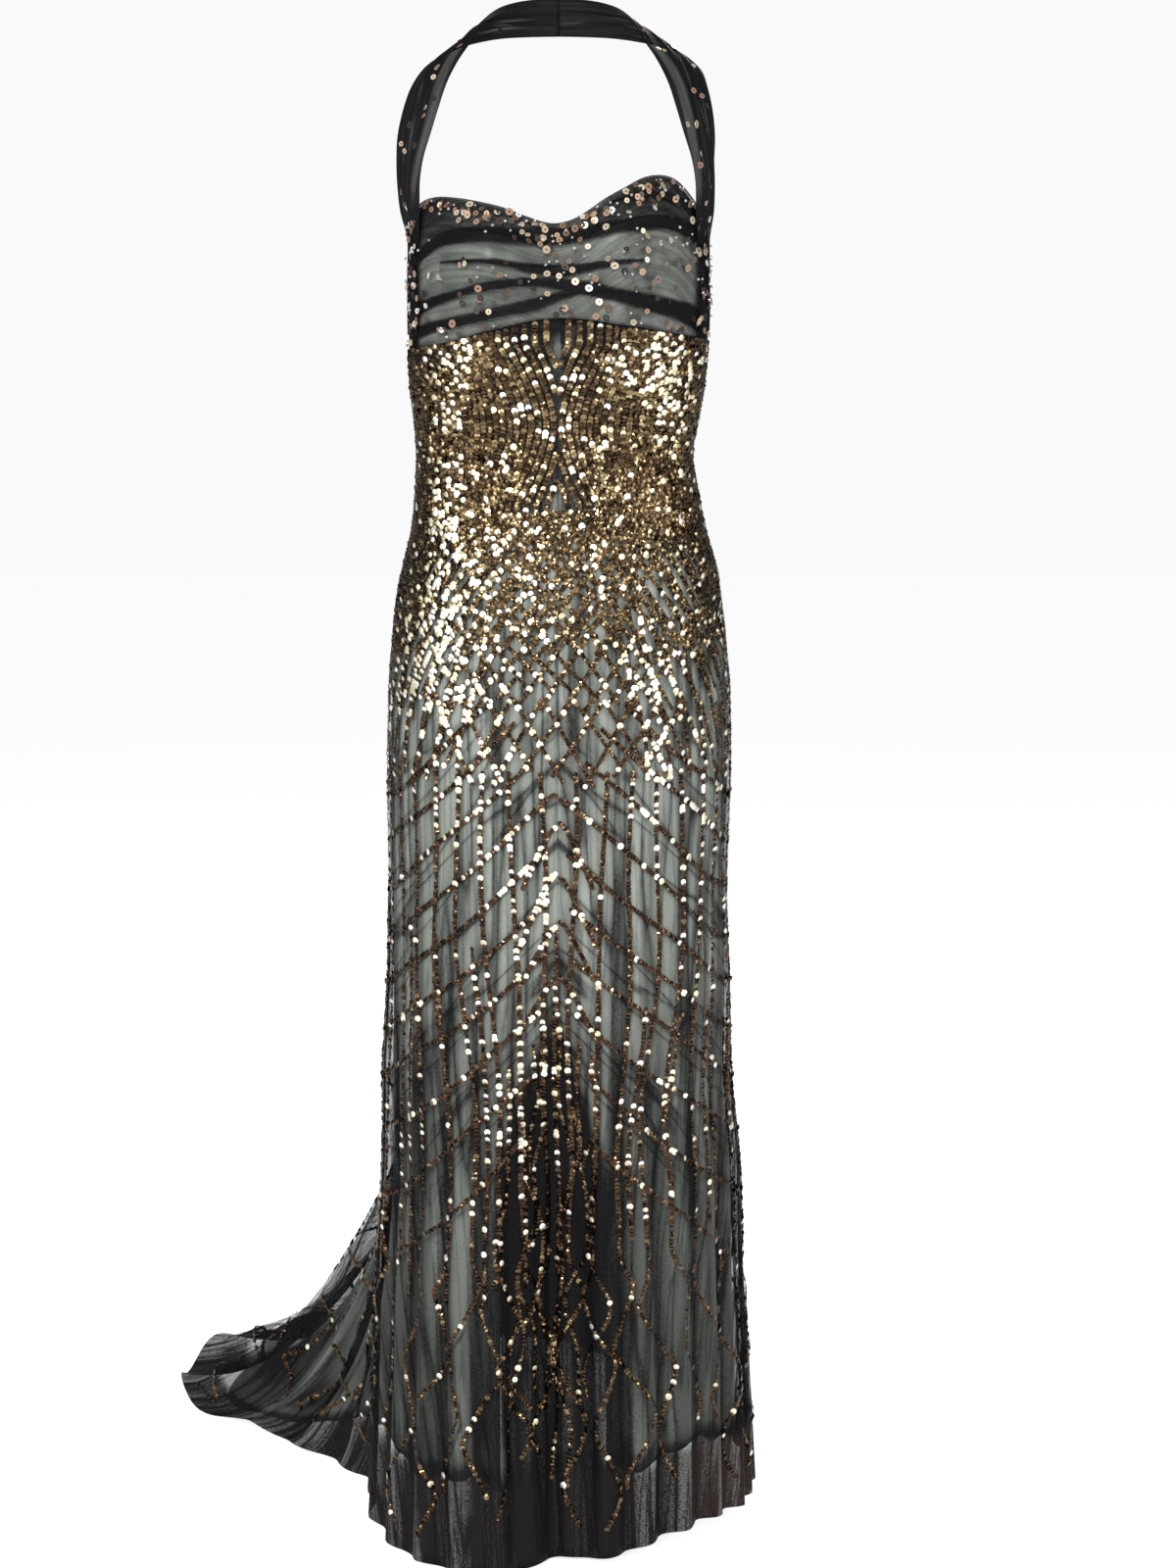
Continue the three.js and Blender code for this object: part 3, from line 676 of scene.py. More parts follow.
angle, down = grid(-BUST_EDGE, BUST_EDGE, 151, 0, 1, 91)
carried = {"dense": drape_density(angle, down)}
bust_drape = cloth("bust_drape_net", drape_point(angle, down), NET_WALL, cross_net, carried)
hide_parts("bust_drape")

# Bodice back
# Two plain doubled bands of the net, one each side, that carry the bust round to the closed centre-back seam.

BAND_WALL = 1.2
BACK_COVER = 0.72
for name, first, last in [["back_band_left", 90, 180], ["back_band_right", -180, -90]]:
    angle, down = grid(first, last, 41, 0, 1, 21)
    pleats = 0.3 * (1 + np.cos(2 * np.pi * 7 * (down + 0.02 * sine(angle * 5))))
    carried = {"dense": BACK_COVER + 0 * angle}
    band = cloth(name + "_net", off_bust(angle, down, pleats), BAND_WALL, cross_net, carried)
    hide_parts(name)

# Halter straps
# Each strap is a length of net drawn up lengthwise. It is sewn flat over the outer side of the cup, stands up
# over the shoulder, and twists as it narrows to the nape, where the two are joined.

STRAP_ON_BUST = rows(["z", "inner", "outer"], [
    [-314, 66, 88.5], [-284, 65.5, 88], [-252, 65, 87.5], [-222, 64.5, 87],
])
STRAP_FREE = rows(["inner_x", "inner_y", "inner_z", "outer_x", "outer_y", "outer_z", "left_out"], [
    [132, -50, -193, 153, -14, -196, -2], [131, -56, -171, 155, -24, -171, -4],
    [127, -61, -150, 155, -32, -150, -5], [120, -62, -128, 153.5, -36, -128, -3],
    [113, -57, -104, 148.5, -33, -104, 0], [105, -47, -78, 141, -26, -81, 3],
    [94, -32, -54, 130, -13, -62, 8], [81, -12, -32, 114, 5, -48, 11], [71, 8, -12, 96, 21, -36, 8],
    [60, 28, 2, 77, 37, -28, 3], [44, 45, 11, 55, 51, -22, 0], [24, 57, 16.5, 29, 60, -19, 0],
    [0, 61.5, 18, 0, 62.5, -18, 0],
])
STRAP_RISE = 1.6
STRAP_BOW = 2.5
# Each lengthwise pleat: share across, half width, height, how far it wanders, and the rows where it runs.
STRAP_PLEATS = [
    [0.06, 0.045, 0.9, 0.02, -3, 18], [0.20, 0.05, 1.5, 0.05, 2, 13], [0.33, 0.04, 1.2, -0.05, -2, 9],
    [0.41, 0.05, 1.6, 0.05, 6, 18], [0.55, 0.045, 1.4, -0.04, -2, 14], [0.68, 0.055, 1.7, 0.05, 3, 18],
    [0.82, 0.04, 1.3, -0.05, -3, 11], [0.93, 0.04, 1.0, 0.02, 0, 18],
]
NAPE_LAP = 0.9
LAPPED = (15.2, 16)
STRAP_ROWS = 16
STRAP_WALL = 0.4


def strap_edge(edge, side, length):
    """One edge of the strap, the inner or the outer, on the side given as -1 or 1.

    Length counts the rows of its two tables, from the under-bust seam to the nape, and the edge runs through
    them as a smooth curve.
    """
    z, angle = STRAP_ON_BUST["z"], STRAP_ON_BUST[edge] * side
    sewn = body_point(angle, z) + outward(body_point, angle, z, 1.0, -1.0) * STRAP_RISE
    lean = STRAP_FREE["left_out"] * (side > 0 and edge == "outer")
    x = (STRAP_FREE[edge + "_x"] + lean) * side
    free = np.stack([x, STRAP_FREE[edge + "_y"] + AXIS_Y, STRAP_FREE[edge + "_z"]], axis=-1)
    places = np.concatenate([sewn, free])
    table = rows(["row", "x", "y", "z"], [[row, *place] for row, place in enumerate(places)])
    return np.stack([along(table, "row", axis, length) for axis in "xyz"], axis=-1)


def strap_points(side, share, length):
    """The strap: straight from edge to edge, bowed out where it is free, with its pleats standing off it."""
    first, last = strap_edge("inner", side, length), strap_edge("outer", side, length)
    flat = first + (last - first) * share[..., None]
    bow = 4 * STRAP_BOW * share * (1 - share) * smoothstep(length, 3, 5)
    pleats = 0
    for at, half_width, height, wander, start, end in STRAP_PLEATS:
        fade = np.sin(np.pi * np.clip((length - start) / (end - start), 0, 1)) ** 0.6
        middle = at + wander * np.sin(length * 0.8 + at * 9 + side)
        pleats = pleats + height * fade * np.exp(-(((share - middle) / half_width) ** 2))
    flat[..., 0] -= side * NAPE_LAP * smoothstep(length, *LAPPED)
    return flat + off_strap(flat, side) * (bow + pleats)[..., None]


def off_strap(points, side):
    """The direction off a grid of the strap's points."""
    return unit(np.cross(np.gradient(points, axis=1), np.gradient(points, axis=0)) * side)


STRAP_GAPS = [[0.47, 0.9], [0.62, 1.3], [0.78, 0.7]]
STRAP_COVER = 0.93


def strap_density(share, length, side):
    """How much the strap hides: nearly all, but for a sheer strip near its inner edge and thin gaps.

    On the bust it thins out towards its inner edge, where it is sewn into the folds of the drape.
    """
    middle = 0.17 + 0.07 * np.sin(length * 0.8 + side)
    strip = np.exp(-(((share - middle) / 0.13) ** 4))
    strip *= smoothstep(length, 3.4, 5) * (1 - smoothstep(length, 12, 14.5))
    gaps = 0
    for at, speed in STRAP_GAPS:
        line = np.exp(-(((share - at - 0.06 * np.sin(length * speed - side)) / 0.03) ** 2))
        gaps = gaps + line * np.clip(np.sin(length * speed * 1.9 + side + at * 20), 0, 1)
    sewn = (1 - smoothstep(length, 2.4, 3.6)) * (1 - smoothstep(share, 0.0, 0.4))
    return np.clip(STRAP_COVER - 0.25 * strip - 0.22 * gaps - 0.85 * sewn, 0.05, 1)


STRAP_BLACK = (0.004, 0.0045, 0.005, 1)
strap_net, parts = finish("strap_net")
lengthwise = parts.wrinkles(parts.cut(), (150.0, 5.0, 1.0), 3.0, 3.0)
hide = parts.carried("dense") + lengthwise * 0.12 - 0.04
net_surface(parts, STRAP_BLACK, specular=0.1, hide=hide, strength=0.25, relief=lengthwise)

for name, side in [["strap_left", 1], ["strap_right", -1]]:
    share, length = grid(0, 1, 57, 0, STRAP_ROWS, 121)
    points, dense = strap_points(side, share, length), strap_density(share, length, side)
    facing = (slice(None, None, -1), slice(None, None, -side))
    carried = {"dense": dense[facing]}
    strap = cloth(name + "_net", points[facing], STRAP_WALL, strap_net, carried)
    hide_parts(name)

# Sequin strands
# Flat cupped sequins of 4 to 5 mm, each overlapping the next, are chain-stitched to the net in long strands.
# At the midriff the strands bow, over the hips they cross, on the thighs they fall straight with chevrons
# between them, and below the knee they cross in wide diamonds down to the hem and over the train.


def level_of(angle, z):
    """The skirt's level at a height, which is 1 at the knee and 2 at the floor."""
    top = along(UNDER_BUST, "angle", "z", angle)
    return np.where(z > KNEE_Z, (z - top) / (KNEE_Z - top), 1 + (KNEE_Z - z) / (KNEE_Z - FLOOR_Z))


def turned(angle):
    """The same angle between -180 and 180, both of which are the centre back."""
    return (angle + 180) % 360 - 180


AHEAD = 1.5
STRAND_SPACING = 50


def threaded(angle, level, pitch):
    """Places for sequins at an even pitch along strands, each of which is one column of angles and levels.

    The lengths of all the strands are laid end to end, so that one interpolation finds every place. The
    answer is the angle and level of each place, and of the point a little further along its strand.
    """
    points = net_point(turned(angle), level)
    lengths = np.zeros(angle.shape)
    lengths[1:] = np.cumsum(np.linalg.norm(np.diff(points, axis=0), axis=-1), axis=0)
    totals = lengths[-1]
    starts = np.concatenate([[0], np.cumsum(totals + STRAND_SPACING)[:-1]])
    keys = (lengths + starts).T.ravel()
    counts = np.floor(totals / pitch).astype(int)
    strand = np.repeat(np.arange(len(totals)), counts)
    nth = np.arange(counts.sum()) - np.repeat(np.cumsum(counts) - counts, counts)
    at = starts[strand] + (nth + 0.5) * pitch
    columns = [angle.T.ravel(), level.T.ravel()]
    return [np.interp(at + ahead, keys, column) for ahead in (0, AHEAD) for column in columns]


def spokes(first, second, sides):
    """Directions evenly round each piece, from one direction in its plane towards another."""
    turn = np.arange(sides)[:, None] * 2 * np.pi / sides
    return first[:, None] * np.cos(turn) + second[:, None] * np.sin(turn)


def copies(name, points, one, look, carried):
    """Many small pieces as one mesh, from the corners of each, the faces of one, and numbers for each."""
    count, corners = points.shape[:2]
    faces = (one + (np.arange(count) * corners)[:, None, None]).reshape(-1, one.shape[1])
    return build(name, points, faces, look, {key: np.repeat(carried[key], corners) for key in carried})


SEQUIN_SIDES = 7
this = np.arange(SEQUIN_SIDES)
after = (this + 1) % SEQUIN_SIDES
upper = np.stack([this, after, 0 * this + SEQUIN_SIDES], axis=-1)
lower = np.stack([after, this, 0 * this + SEQUIN_SIDES + 1], axis=-1)
SEQUIN_FACES = np.concatenate([upper, lower])

sequin_finish, parts = finish("sequins")
tone = parts.carried("tone")
# In both ramps the stops above 0.8 are reached only by sequins painted pale as flashes: painted highlights.
sequin_colour = parts.ramp(tone, [
    (0.0, (0.025, 0.016, 0.011)),
    (0.4, (0.13, 0.086, 0.044)),
    (0.62, (0.33, 0.245, 0.125)),
    (0.8, (0.62, 0.52, 0.30)),
    (0.9, (0.95, 0.90, 0.66)),
    (1.0, (0.97, 0.95, 0.92)),
])
rust_colour = parts.ramp(tone, [
    (0.0, (0.035, 0.019, 0.015)),
    (0.4, (0.11, 0.060, 0.045)),
    (0.62, (0.27, 0.17, 0.12)),
    (0.8, (0.55, 0.43, 0.31)),
    (0.9, (0.95, 0.89, 0.74)),
    (1.0, (0.97, 0.94, 0.93)),
])
surface(parts, {
    "Base Color": parts.blend(parts.carried("rust"), sequin_colour, rust_colour),
    "Metallic": 1.0,
    "Roughness": parts.spread(tone, 0.8, 0.86, 0.22, 0.5),
})

SHINGLE = math.radians(14)
STAND_OFF = 1.1
CUPPED = {"above": 0.2, "below": 0.12}
PAINTED_FLASH_RADIUS = 3.3
PAINTED_FLASH_LIFT = 0.7
RUST_FROM = (600, 760)
RUST_TO = (1150, 1300)
MOST_RUST = 0.4
# Places where sequins are painted pale as flashes, a painted highlight: the angle and height of each place,
# its reach in both, and its strength.
PAINTED_GLINTS = [
    [-42, -560, 16, 60, 0.22], [-48, -650, 20, 55, 0.42], [-18, -690, 12, 50, 0.2],
    [32, -345, 26, 26, 0.18], [-40, -335, 26, 20, 0.18], [52, -360, 14, 50, 0.25],
    [-50, -450, 9, 90, 0.22], [54, -780, 9, 80, 0.4], [34, -760, 7, 90, 0.3], [-8, -840, 14, 60, 0.3],
    [-14, -1010, 14, 70, 0.16], [-52, -1085, 9, 30, 0.4], [38, -1060, 12, 40, 0.2],
    [30, -640, 16, 40, 0.12], [-30, -760, 14, 60, 0.16], [0, -415, 13, 60, 0.1],
]


def painted_glint(angle, z):
    """How likely a sequin is to be painted pale as a flash, a painted highlight: bells about the listed
    places.
    """
    return sum(most * np.exp(-(((angle - a) / across) ** 2) - ((z - height) / down) ** 2)
               for a, height, across, down, most in PAINTED_GLINTS)


def sew_sequins(name, strands, pitch, radius, tilt, pale, dark, seed):
    """One zone of strands as a mesh: sequins tipped like shingles along their strand, each a little askew.

    Each is a low cone above and below a ring of points. Most are dark to gold, drawn from a beta curve that
    is steeper the darker the zone, and some are painted pale, a painted highlight, and made a little larger.
    """
    draw = np.random.default_rng(seed)
    places = [threaded(angle, level, pitch) for angle, level in strands]
    at_angle, at_level, next_angle, next_level = (np.concatenate(lot) for lot in zip(*places))
    centres = net_point(turned(at_angle), at_level)
    runs = unit(net_point(turned(next_angle), next_level) - centres)
    off = outward(net_point, turned(at_angle), np.clip(at_level, *INSIDE_ENDS), 0.4, 0.006)
    # Painted highlight: sequins near the listed places, and a share of the rest at random, are painted pale,
    # made larger and lifted, as if they caught a lamp.
    painted_flashes = draw.random(len(centres)) < pale + painted_glint(turned(at_angle), centres[:, 2])
    centres += off * (STAND_OFF + PAINTED_FLASH_LIFT * painted_flashes)[:, None]
    skew = draw.normal(0, math.radians(tilt), (len(centres), 2)) * np.where(painted_flashes, 0.4, 1.0)[:, None]
    normals = unit(off + runs * (np.tan(SHINGLE) + skew[:, :1]) + np.cross(off, runs) * skew[:, 1:])
    runs = unit(runs - normals * np.sum(runs * normals, axis=-1, keepdims=True))
    radii = radius * draw.uniform(0.9, 1.1, len(centres))
    tones = 0.8 * draw.beta(1.7, dark, len(centres))
    tones[painted_flashes] = draw.uniform(0.84, 1.0, painted_flashes.sum())
    radii[painted_flashes] = np.maximum(radii[painted_flashes], PAINTED_FLASH_RADIUS * draw.uniform(0.75, 1.1, painted_flashes.sum()))
    depth = -centres[:, 2]
    rust = MOST_RUST * smoothstep(depth, *RUST_FROM) * (1 - 0.7 * smoothstep(depth, *RUST_TO))
    middles, reach, up = centres[:, None], radii[:, None, None], normals[:, None]
    ring = middles + spokes(runs, np.cross(normals, runs), SEQUIN_SIDES) * reach
    tips = [middles + up * reach * CUPPED["above"], middles - up * reach * CUPPED["below"]]
    corners = np.concatenate([ring, *tips], axis=1)
    copies(name, corners, SEQUIN_FACES, sequin_finish, {"tone": tones, "rust": rust})


def hanging(z_top, z_bottom, share, angle):
    """Strands from one height to another, from their angles at each share of the way."""
    z = z_top + (z_bottom - z_top) * share + 0 * angle
    return angle, np.clip(level_of(angle, z), 0.008, 1.97)


def quarter(angle):
    """1 where a greater angle is further from the nearer of the centre front and back, and -1 elsewhere."""
    return np.sign(sine(2 * angle))


# Midriff: 124 strands that bow in to the centre front and back at the waist, with short ones in the openings.
WAIST_Z = -403
STRAND_STEP = 2.9
SHORT_STRANDS = [[-1.45, -376, -430], [-4.35, -350, -456]]
BOW = {"degrees": 7.5, "away": 55, "power": 1.6, "most": 12.5}
MOST_BOWED = 11
BOWED_TO = 40


def bowed(middle, side, near, z_top, z_bottom):
    """Strands on one side of a centre line, moved away from it more the further they are from the waist.

    The shift is full a little beside the centre line, dies away along a cosine, and turns back at the sides.
    """
    share = np.linspace(0, 1, 60)[:, None]
    near = np.asarray(near, float)[None]
    z = z_top + (z_bottom - z_top) * share + 0 * near
    shift = np.minimum(BOW["degrees"] * (np.abs(z - WAIST_Z) / BOW["away"]) ** BOW["power"], BOW["most"])
    turning_back = -0.5 * np.sin(np.pi * (near - BOWED_TO) / (90 - BOWED_TO))
    inner = np.cos(np.pi * (near - MOST_BOWED) / (2 * (BOWED_TO - MOST_BOWED)))
    profile = np.where(near < BOWED_TO, inner, turning_back)
    angle = middle + side * (near + shift * profile)
    return angle, np.clip(level_of(turned(angle), z), 0.002, 1.97)


midriff = []
near = (np.arange(31) + 0.5) * STRAND_STEP
for middle in (0, 180):
    for side in (-1, 1):
        midriff.append(bowed(middle, side, near, -297, -500 + 8 * np.sin(near * 2.1)))
        for start, upper, lower in SHORT_STRANDS:
            midriff.append(bowed(middle, side, [start], -297, upper))
            midriff.append(bowed(middle, side, [start], lower, -497))
sew_sequins("sequins_midriff", midriff, pitch=3.5, radius=3.1, tilt=13, pale=0.03, dark=2.5, seed=11)


def away_from_front(start, lean):
    """Angles that swing away from the nearer of the centre front and back, and bunch at the sides."""
    middle = np.where(np.abs(start) > 90, 180.0 * np.sign(start), 0.0)
    off = start - middle
    share = np.clip(np.abs(off) / 90, 0, 1)
    return middle + np.sign(off) * (np.abs(off) + lean * (1 - share**2))


# Hips: outward strands, bunched at the sides, and others that cross them in front, in three sizes of diamond.
# Each row: the heights where the strands start and end, their step in degrees, and how far they lean.
HIP_STAGES = [[-484, -612, 3.27, 38], [-604, -668, 7.2, 17], [-660, -742, 10.0, 17]]
hip_strands = []
share = np.linspace(0, 1, 60)[:, None]
for z_top, z_bottom, step, lean in HIP_STAGES:
    start = (np.arange(round(360 / step)) + 0.5) * step - 180
    top, bottom = z_top - 4 + 8 * np.sin(start * 1.9), z_bottom + 10 * np.sin(start * 2.7)
    hip_strands.append(hanging(top, bottom, share, away_from_front(start, lean * share)))
    kept = np.abs(np.abs(start) - 90) > 38
    inward = start[kept] - quarter(start[kept]) * lean * share
    hip_strands.append(hanging(top[kept], bottom[kept], share, inward))
start = np.arange(72) * 5.0 - 180
start = start[np.abs(np.abs(start) - 90) < 19]
bottom = -720 - 50 * np.sin(start * 1.7)
hip_strands.append(hanging(-600, bottom, share, start + 1.5 * np.sin(share * 7 + start)))
start = np.concatenate([middle + side * np.arange(20, 66, 4.5) for middle in (0, 180) for side in (-1, 1)])
top, bottom = -566 + 22 * np.sin(start * 1.3), -716 + 30 * np.sin(start * 2.1)
angle = start + quarter(start) * (10 * share - 1.5 * np.sin(share * 6))
hip_strands.append(hanging(top, bottom, share, angle))
upper, lower = hip_strands[:2], hip_strands[2:]
sew_sequins("sequins_hips_upper", upper, pitch=3.4, radius=2.7, tilt=14, pale=0.035, dark=2.6, seed=12)
sew_sequins("sequins_hips_lower", lower, pitch=3.4, radius=2.45, tilt=14, pale=0.045, dark=3.6, seed=16)

# Thighs: 36 upright strands, which lean in below the knee, 24 short ones between them, and chevrons that fall
# from the centres to the sides.
UPRIGHT_LEAN = 8


def upright(start, share):
    """Straight down, then leaning towards the nearer centre over the last part."""
    lean = UPRIGHT_LEAN * smoothstep(share, 0.3, 0.8) * sine(2 * start)
    return start - lean + 1.2 * np.sin(share * 8 + np.radians(start * 7)) * (1 - smoothstep(share, 0.8, 1))


start = (np.arange(36) + 0.5) * 10 - 180
fine = np.linspace(0, 1, 80)[:, None]
thigh_strands = [hanging(-734, -1190, fine, upright(start, fine))]
start = np.arange(24) * 15.0 - 180
top, bottom = -935 - 45 * np.sin(start * 1.7), -1225 - 35 * np.sin(start * 2.9)
thigh_strands.append(hanging(top, bottom, share, upright(start, 0.43 + 0.57 * share)))
# Each row: the height of the point, how steeply it falls away, and the angles where it starts and ends.
CHEVRONS = [
    [-616, 0.95, 22, 88], [-658, 0.95, 14, 88], [-706, 0.95, 9, 88], [-757, 0.95, 0.3, 88],
    [-785, 2.4, 0.3, 12], [-808, 0.9, 3, 88], [-832, 2.4, 0.3, 13], [-858, 0.88, 4, 88],
    [-880, 2.2, 0.3, 12], [-908, 0.86, 5, 88], [-935, 2.0, 0.3, 14], [-960, 0.9, 6, 88],
    [-1012, 1.0, 9, 80], [-1066, 1.1, 12, 66],
]
ROUNDING = 9
HALF_WIDTH = 170
for z, fall, first, last in CHEVRONS:
    reach = np.linspace(first, last, 90)[:, None]
    for middle in (0, 180):
        for side in (-1, 1):
            across = HALF_WIDTH * sine(reach)
            sway = 3 * np.sin(np.radians(reach * 6) + z + side)
            depth = z - fall * (np.hypot(across, ROUNDING) - ROUNDING) + sway
            angle = middle + side * reach
            thigh_strands.append((angle, np.clip(level_of(turned(angle), depth), 0.01, 1.9)))
sew_sequins("sequins_thighs", thigh_strands, pitch=3.5, radius=2.75, tilt=15, pale=0.04, dark=5.2, seed=13)

# Below the knee: pairs of strands swing apart and together again in tall diamonds, and end short of the hem.
DIAMOND_TALL = 0.215
DIAMOND_HALF = 5
LOW_START = 1.487
share = np.linspace(0, 1, 160)[:, None]
for name, first, last, seed in [["sequins_skirt_low", -95, 95, 14], ["sequins_train", 95, 265, 15]]:
    start = np.array([a for a in np.arange(-80, 281, 20.0) if first < a < last])
    low_strands = []
    for side in (-1, 1):
        end = 1.90 + 0.07 * np.sin(start * 2.3 + side)
        level = LOW_START + (end - LOW_START) * share
        phase = 2 * np.pi * (level - LOW_START) / DIAMOND_TALL - 1.2 + 0.5 * np.sin(start * 1.7) + 0.25 * side
        zigzag = np.arcsin(0.97 * np.sin(phase)) * 2 / np.pi
        swing = DIAMOND_HALF * (1 + zigzag * smoothstep(share, 0, 0.25))
        swing = swing + 1.2 * np.sin(share * 9 + start * side * 1.3) * smoothstep(share, 0.1, 0.4)
        lean = UPRIGHT_LEAN * sine(2 * (start + side * DIAMOND_HALF)) * (1 - smoothstep(share, 0, 0.8))
        low_strands.append((start + side * swing - lean, level))
    sew_sequins(name, low_strands, pitch=3.8, radius=2.7, tilt=16, pale=0.03, dark=3.8, seed=seed)

# Between the knees: strands that start one below another, wander, and cross each other down to the hem.
start = np.array([[-16, -11.5, -8, -4.5, -0.5, 3, 7, 11]])
share = np.linspace(0, 1, 200)[:, None]
top = 1.12 + 0.14 * np.sin(start * 3.1)
level = top + (1.84 + 0.09 * np.sin(start * 5) - top) * share
loops = 3.4 * np.sin(share * (8 + 3 * np.sin(start * 1.9)) + start * 2.3)
loops += 1.7 * np.sin(share * 21 + start * 5)
angle = start + loops * smoothstep(share, 0, 0.35)
sew_sequins("sequins_centre", [(angle, level)], pitch=3.8, radius=2.35, tilt=18, pale=0.03, dark=3.4, seed=17)

# Bust paillettes and beads
# Flat round paillettes with a hole, and small crystal beads, are sewn on singly, thickest along the neckline
# and near the side seams.

# Each row: middle angle, share down, spread of the angle, spread down, count.
PAILLETTE_CLUSTERS = [
    [-58, 0.06, 14, 0.06, 24], [-30, 0.10, 8, 0.05, 16], [-6, 0.08, 7, 0.10, 22], [14, 0.08, 7, 0.08, 12],
    [34, 0.10, 9, 0.07, 22], [52, 0.06, 8, 0.06, 12], [72, 0.45, 7, 0.3, 34], [-72, 0.6, 7, 0.25, 32],
    [0, 0.45, 34, 0.2, 44], [40, 0.6, 16, 0.22, 22], [-35, 0.85, 18, 0.1, 14], [24, 0.92, 22, 0.05, 14],
]
BEAD_CLUSTERS = [
    [-62, 0.08, 14, 0.05, 14], [-4, 0.10, 12, 0.08, 14], [36, 0.10, 14, 0.06, 14], [74, 0.5, 8, 0.25, 18],
    [-76, 0.6, 7, 0.2, 16], [0, 0.5, 44, 0.25, 44],
]
RING_SIDES = 8
HALF_THICK = 0.15
HOLE_SHARE = 0.28
STRAP_PAILLETTES = 20
OVER_STRAP = 2.2


def scattered(clusters, lift, seed):
    """Places for single pieces, drawn from each cluster's bell and kept on the bust, clear of the straps."""
    draw = np.random.default_rng(seed)
    angle = np.concatenate([draw.normal(c[0], c[2], c[4]) for c in clusters])
    down = np.concatenate([draw.normal(c[1], c[3], c[4]) for c in clusters])
    angle, down = np.clip(angle, -86, 86), np.clip(np.abs(down - 0.015) + 0.015, 0.015, 0.96)
    off = outward(drape_point, angle, down, 0.6, 0.01)
    lift = lift + OVER_STRAP * smoothstep(np.abs(angle), 62, 66)
    return drape_point(angle, down) + off * lift[:, None], off, draw


paillette_finish, parts = finish("paillettes")
paillette_colour = parts.ramp(parts.carried("tone"), [
    (0.0, (0.02, 0.016, 0.013)),
    (0.25, (0.10, 0.065, 0.045)),
    (0.45, (0.34, 0.20, 0.13)),
    (0.65, (0.48, 0.38, 0.26)),
    (0.85, (0.70, 0.62, 0.44)),
    (1.0, (0.80, 0.79, 0.88)),
])
surface(parts, {"Base Color": paillette_colour, "Metallic": 0.45, "Roughness": 0.3})

centres, off, draw = scattered(PAILLETTE_CLUSTERS, 1.0, 21)
for side in (1, -1):
    strap_grid = strap_points(side, *grid(0, 1, 33, 0, STRAP_ROWS, 97))
    at = (draw.integers(18, 84, STRAP_PAILLETTES), draw.integers(5, 28, STRAP_PAILLETTES))
    strap_off = off_strap(strap_grid, side)[at]
    centres = np.concatenate([centres, strap_grid[at] + strap_off * 0.8])
    off = np.concatenate([off, strap_off])
normals = unit(off + draw.normal(0, 0.14, off.shape))
sides = unit(np.cross(normals, np.array([0.0, 0.0, 1.0]) + draw.normal(0, 0.3, off.shape)))
radii = 2.5 + 1.9 * draw.beta(1.3, 2.2, len(centres))
tones = draw.random(len(centres)) ** 1.5
spoke = spokes(sides, np.cross(normals, sides), RING_SIDES) * radii[:, None, None]
this = np.arange(RING_SIDES)
after = (this + 1) % RING_SIDES
rings, faces = [], []
for ring, (reach, height) in enumerate([(1, 1), (HOLE_SHARE, 1), (HOLE_SHARE, -1), (1, -1)]):
    rings.append(centres[:, None] + spoke * reach + normals[:, None] * HALF_THICK * height)
    a, b = ring * RING_SIDES, (ring + 1) % 4 * RING_SIDES
    faces.append(np.stack([a + this, a + after, b + after, b + this], axis=-1))
rings, faces = np.concatenate(rings, axis=1), np.concatenate(faces)
copies("bust_paillettes", rings, faces, paillette_finish, {"tone": tones})

# Each bead has a ring of five points above its middle, one below it, and two poles.
BEAD_SIDES = 5
RING_HEIGHT, RING_REACH, RING_TURN = 0.447, 0.894, 0.628
bead_finish, parts = finish("crystal_beads")
surface(parts, {"Base Color": (0.72, 0.70, 0.72, 1), "Metallic": 0.6, "Roughness": 0.08})
centres, off, draw = scattered(BEAD_CLUSTERS, 1.2, 22)
this = np.arange(BEAD_SIDES)
after = (this + 1) % BEAD_SIDES
rings = []
for turned_by, height in ((0, RING_HEIGHT), (RING_TURN, -RING_HEIGHT)):
    turn = this * 2 * np.pi / BEAD_SIDES + turned_by
    rings.append(np.stack([RING_REACH * np.cos(turn), RING_REACH * np.sin(turn), height + 0 * turn], axis=-1))
corners = np.concatenate([*rings, [[0, 0, 1], [0, 0, -1]]])
top, bottom = 0 * this + 2 * BEAD_SIDES, 0 * this + 2 * BEAD_SIDES + 1
faces = np.concatenate([
    np.stack([top, this, after], axis=-1),
    np.stack([this, this + BEAD_SIDES, after], axis=-1),
    np.stack([after, this + BEAD_SIDES, after + BEAD_SIDES], axis=-1),
    np.stack([bottom, after + BEAD_SIDES, this + BEAD_SIDES], axis=-1),
])
radii = draw.uniform(1.0, 1.7, len(centres))
corners = centres[:, None] + corners * radii[:, None, None]
copies("bust_beads", corners, faces, bead_finish, {})

# Studio
# A plain pale floor under the gown, a pale surround, one small lamp high on the left of the camera and soft
# boxes at both sides and behind. The surround is darker for all but the camera, so that the sequins flash.

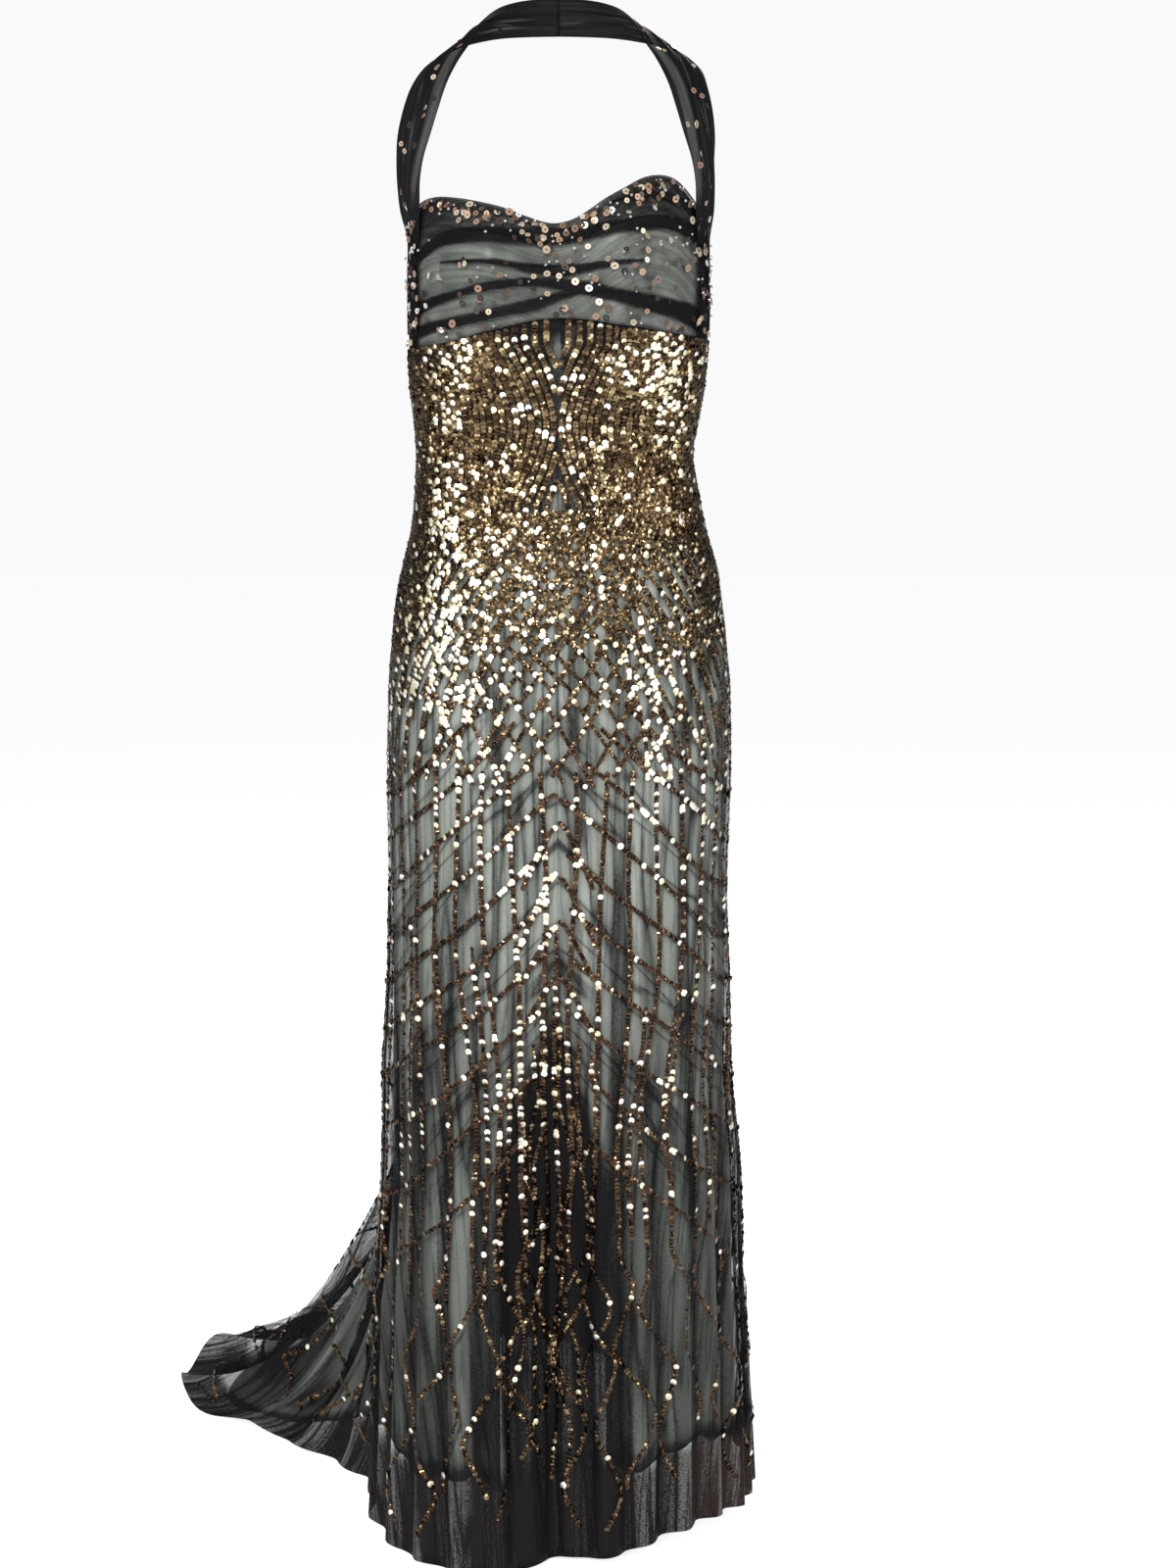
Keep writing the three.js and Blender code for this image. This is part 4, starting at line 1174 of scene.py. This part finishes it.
FLOOR_RADIUS = 30.0
floor_mesh = bpy.data.meshes.new("floor")
corners = np.array([[-1, -1, 0], [1, -1, 0], [1, 1, 0], [-1, 1, 0]]) * FLOOR_RADIUS + [0, 0, FLOOR_Z * MM]
floor_mesh.from_pydata(corners.tolist(), [], [(0, 1, 2, 3)])
floor = bpy.data.objects.new("floor", floor_mesh)
bpy.context.collection.objects.link(floor)
floor_finish, parts = finish("pale_floor")
seen = parts.node("ShaderNodeLightPath", {}, {}, out="Is Camera Ray")
surface(parts, {
    "Base Color": (0.85, 0.85, 0.85, 1),
    "Roughness": 0.9,
    "Specular IOR Level": 0.0,
    "Emission Color": (1.0, 1.0, 1.0, 1),
    "Emission Strength": seen * 0.62 + 0.15,
})
floor.data.materials.append(floor_finish)

scene = bpy.context.scene
world = bpy.data.worlds.new("studio")
scene.world = world
world.use_nodes = True
parts = Nodes(world.node_tree)
seen = parts.node("ShaderNodeLightPath", {}, {}, out="Is Camera Ray")
brightness = parts.blend(seen, (0.22, 0.22, 0.23, 1), (0.947, 0.947, 0.947, 1))
sky = parts.node("ShaderNodeBackground", {}, {"Color": brightness, "Strength": 1.0})
parts.node("ShaderNodeOutputWorld", {}, {"Surface": sky})


def softbox(name, place, aim, size, power):
    """A square lamp at a place, turned to face the point it is aimed at."""
    lamp = bpy.data.lights.new(name, "AREA")
    lamp.size = size
    lamp.energy = power
    stand = bpy.data.objects.new(name, lamp)
    bpy.context.collection.objects.link(stand)
    way = unit(np.array(place) - aim)
    across = unit(np.cross([0.0, 0.0, 1.0], way))
    matrix = np.eye(4)
    matrix[:3] = np.stack([across, np.cross(way, across), way, place], axis=-1)
    stand.matrix_world = mathutils.Matrix(matrix.tolist())


GOWN_MIDDLE = (0.0, -0.06, -0.75)
softbox("lamp_key", (-0.5, -3.2, 0.7), GOWN_MIDDLE, size=0.35, power=105)
softbox("lamp_left", (-2.6, -2.2, 0.2), GOWN_MIDDLE, size=1.6, power=58)
softbox("lamp_right", (2.8, -1.8, 0.0), GOWN_MIDDLE, size=1.6, power=54)
softbox("lamp_back", (0.6, 2.8, 1.2), GOWN_MIDDLE, size=1.6, power=50)

# Camera
# It stands 2.64 m in front of the gown's axis, below the nape, and looks down by a few degrees.

CAMERA = (0.029, -2.702, -0.465)
CAMERA_DOWN = 6.31
FOCAL_PIXELS, PICTURE_HEIGHT = 2713, 1600
eye = bpy.data.cameras.new("camera")
eye.sensor_fit = "VERTICAL"
eye.sensor_height = 36
eye.lens = FOCAL_PIXELS / PICTURE_HEIGHT * eye.sensor_height
camera = bpy.data.objects.new("camera", eye)
bpy.context.collection.objects.link(camera)
camera.location = CAMERA
camera.rotation_euler = (math.radians(90 - CAMERA_DOWN), 0, 0)
scene.camera = camera
scene.view_settings.view_transform = "Standard"
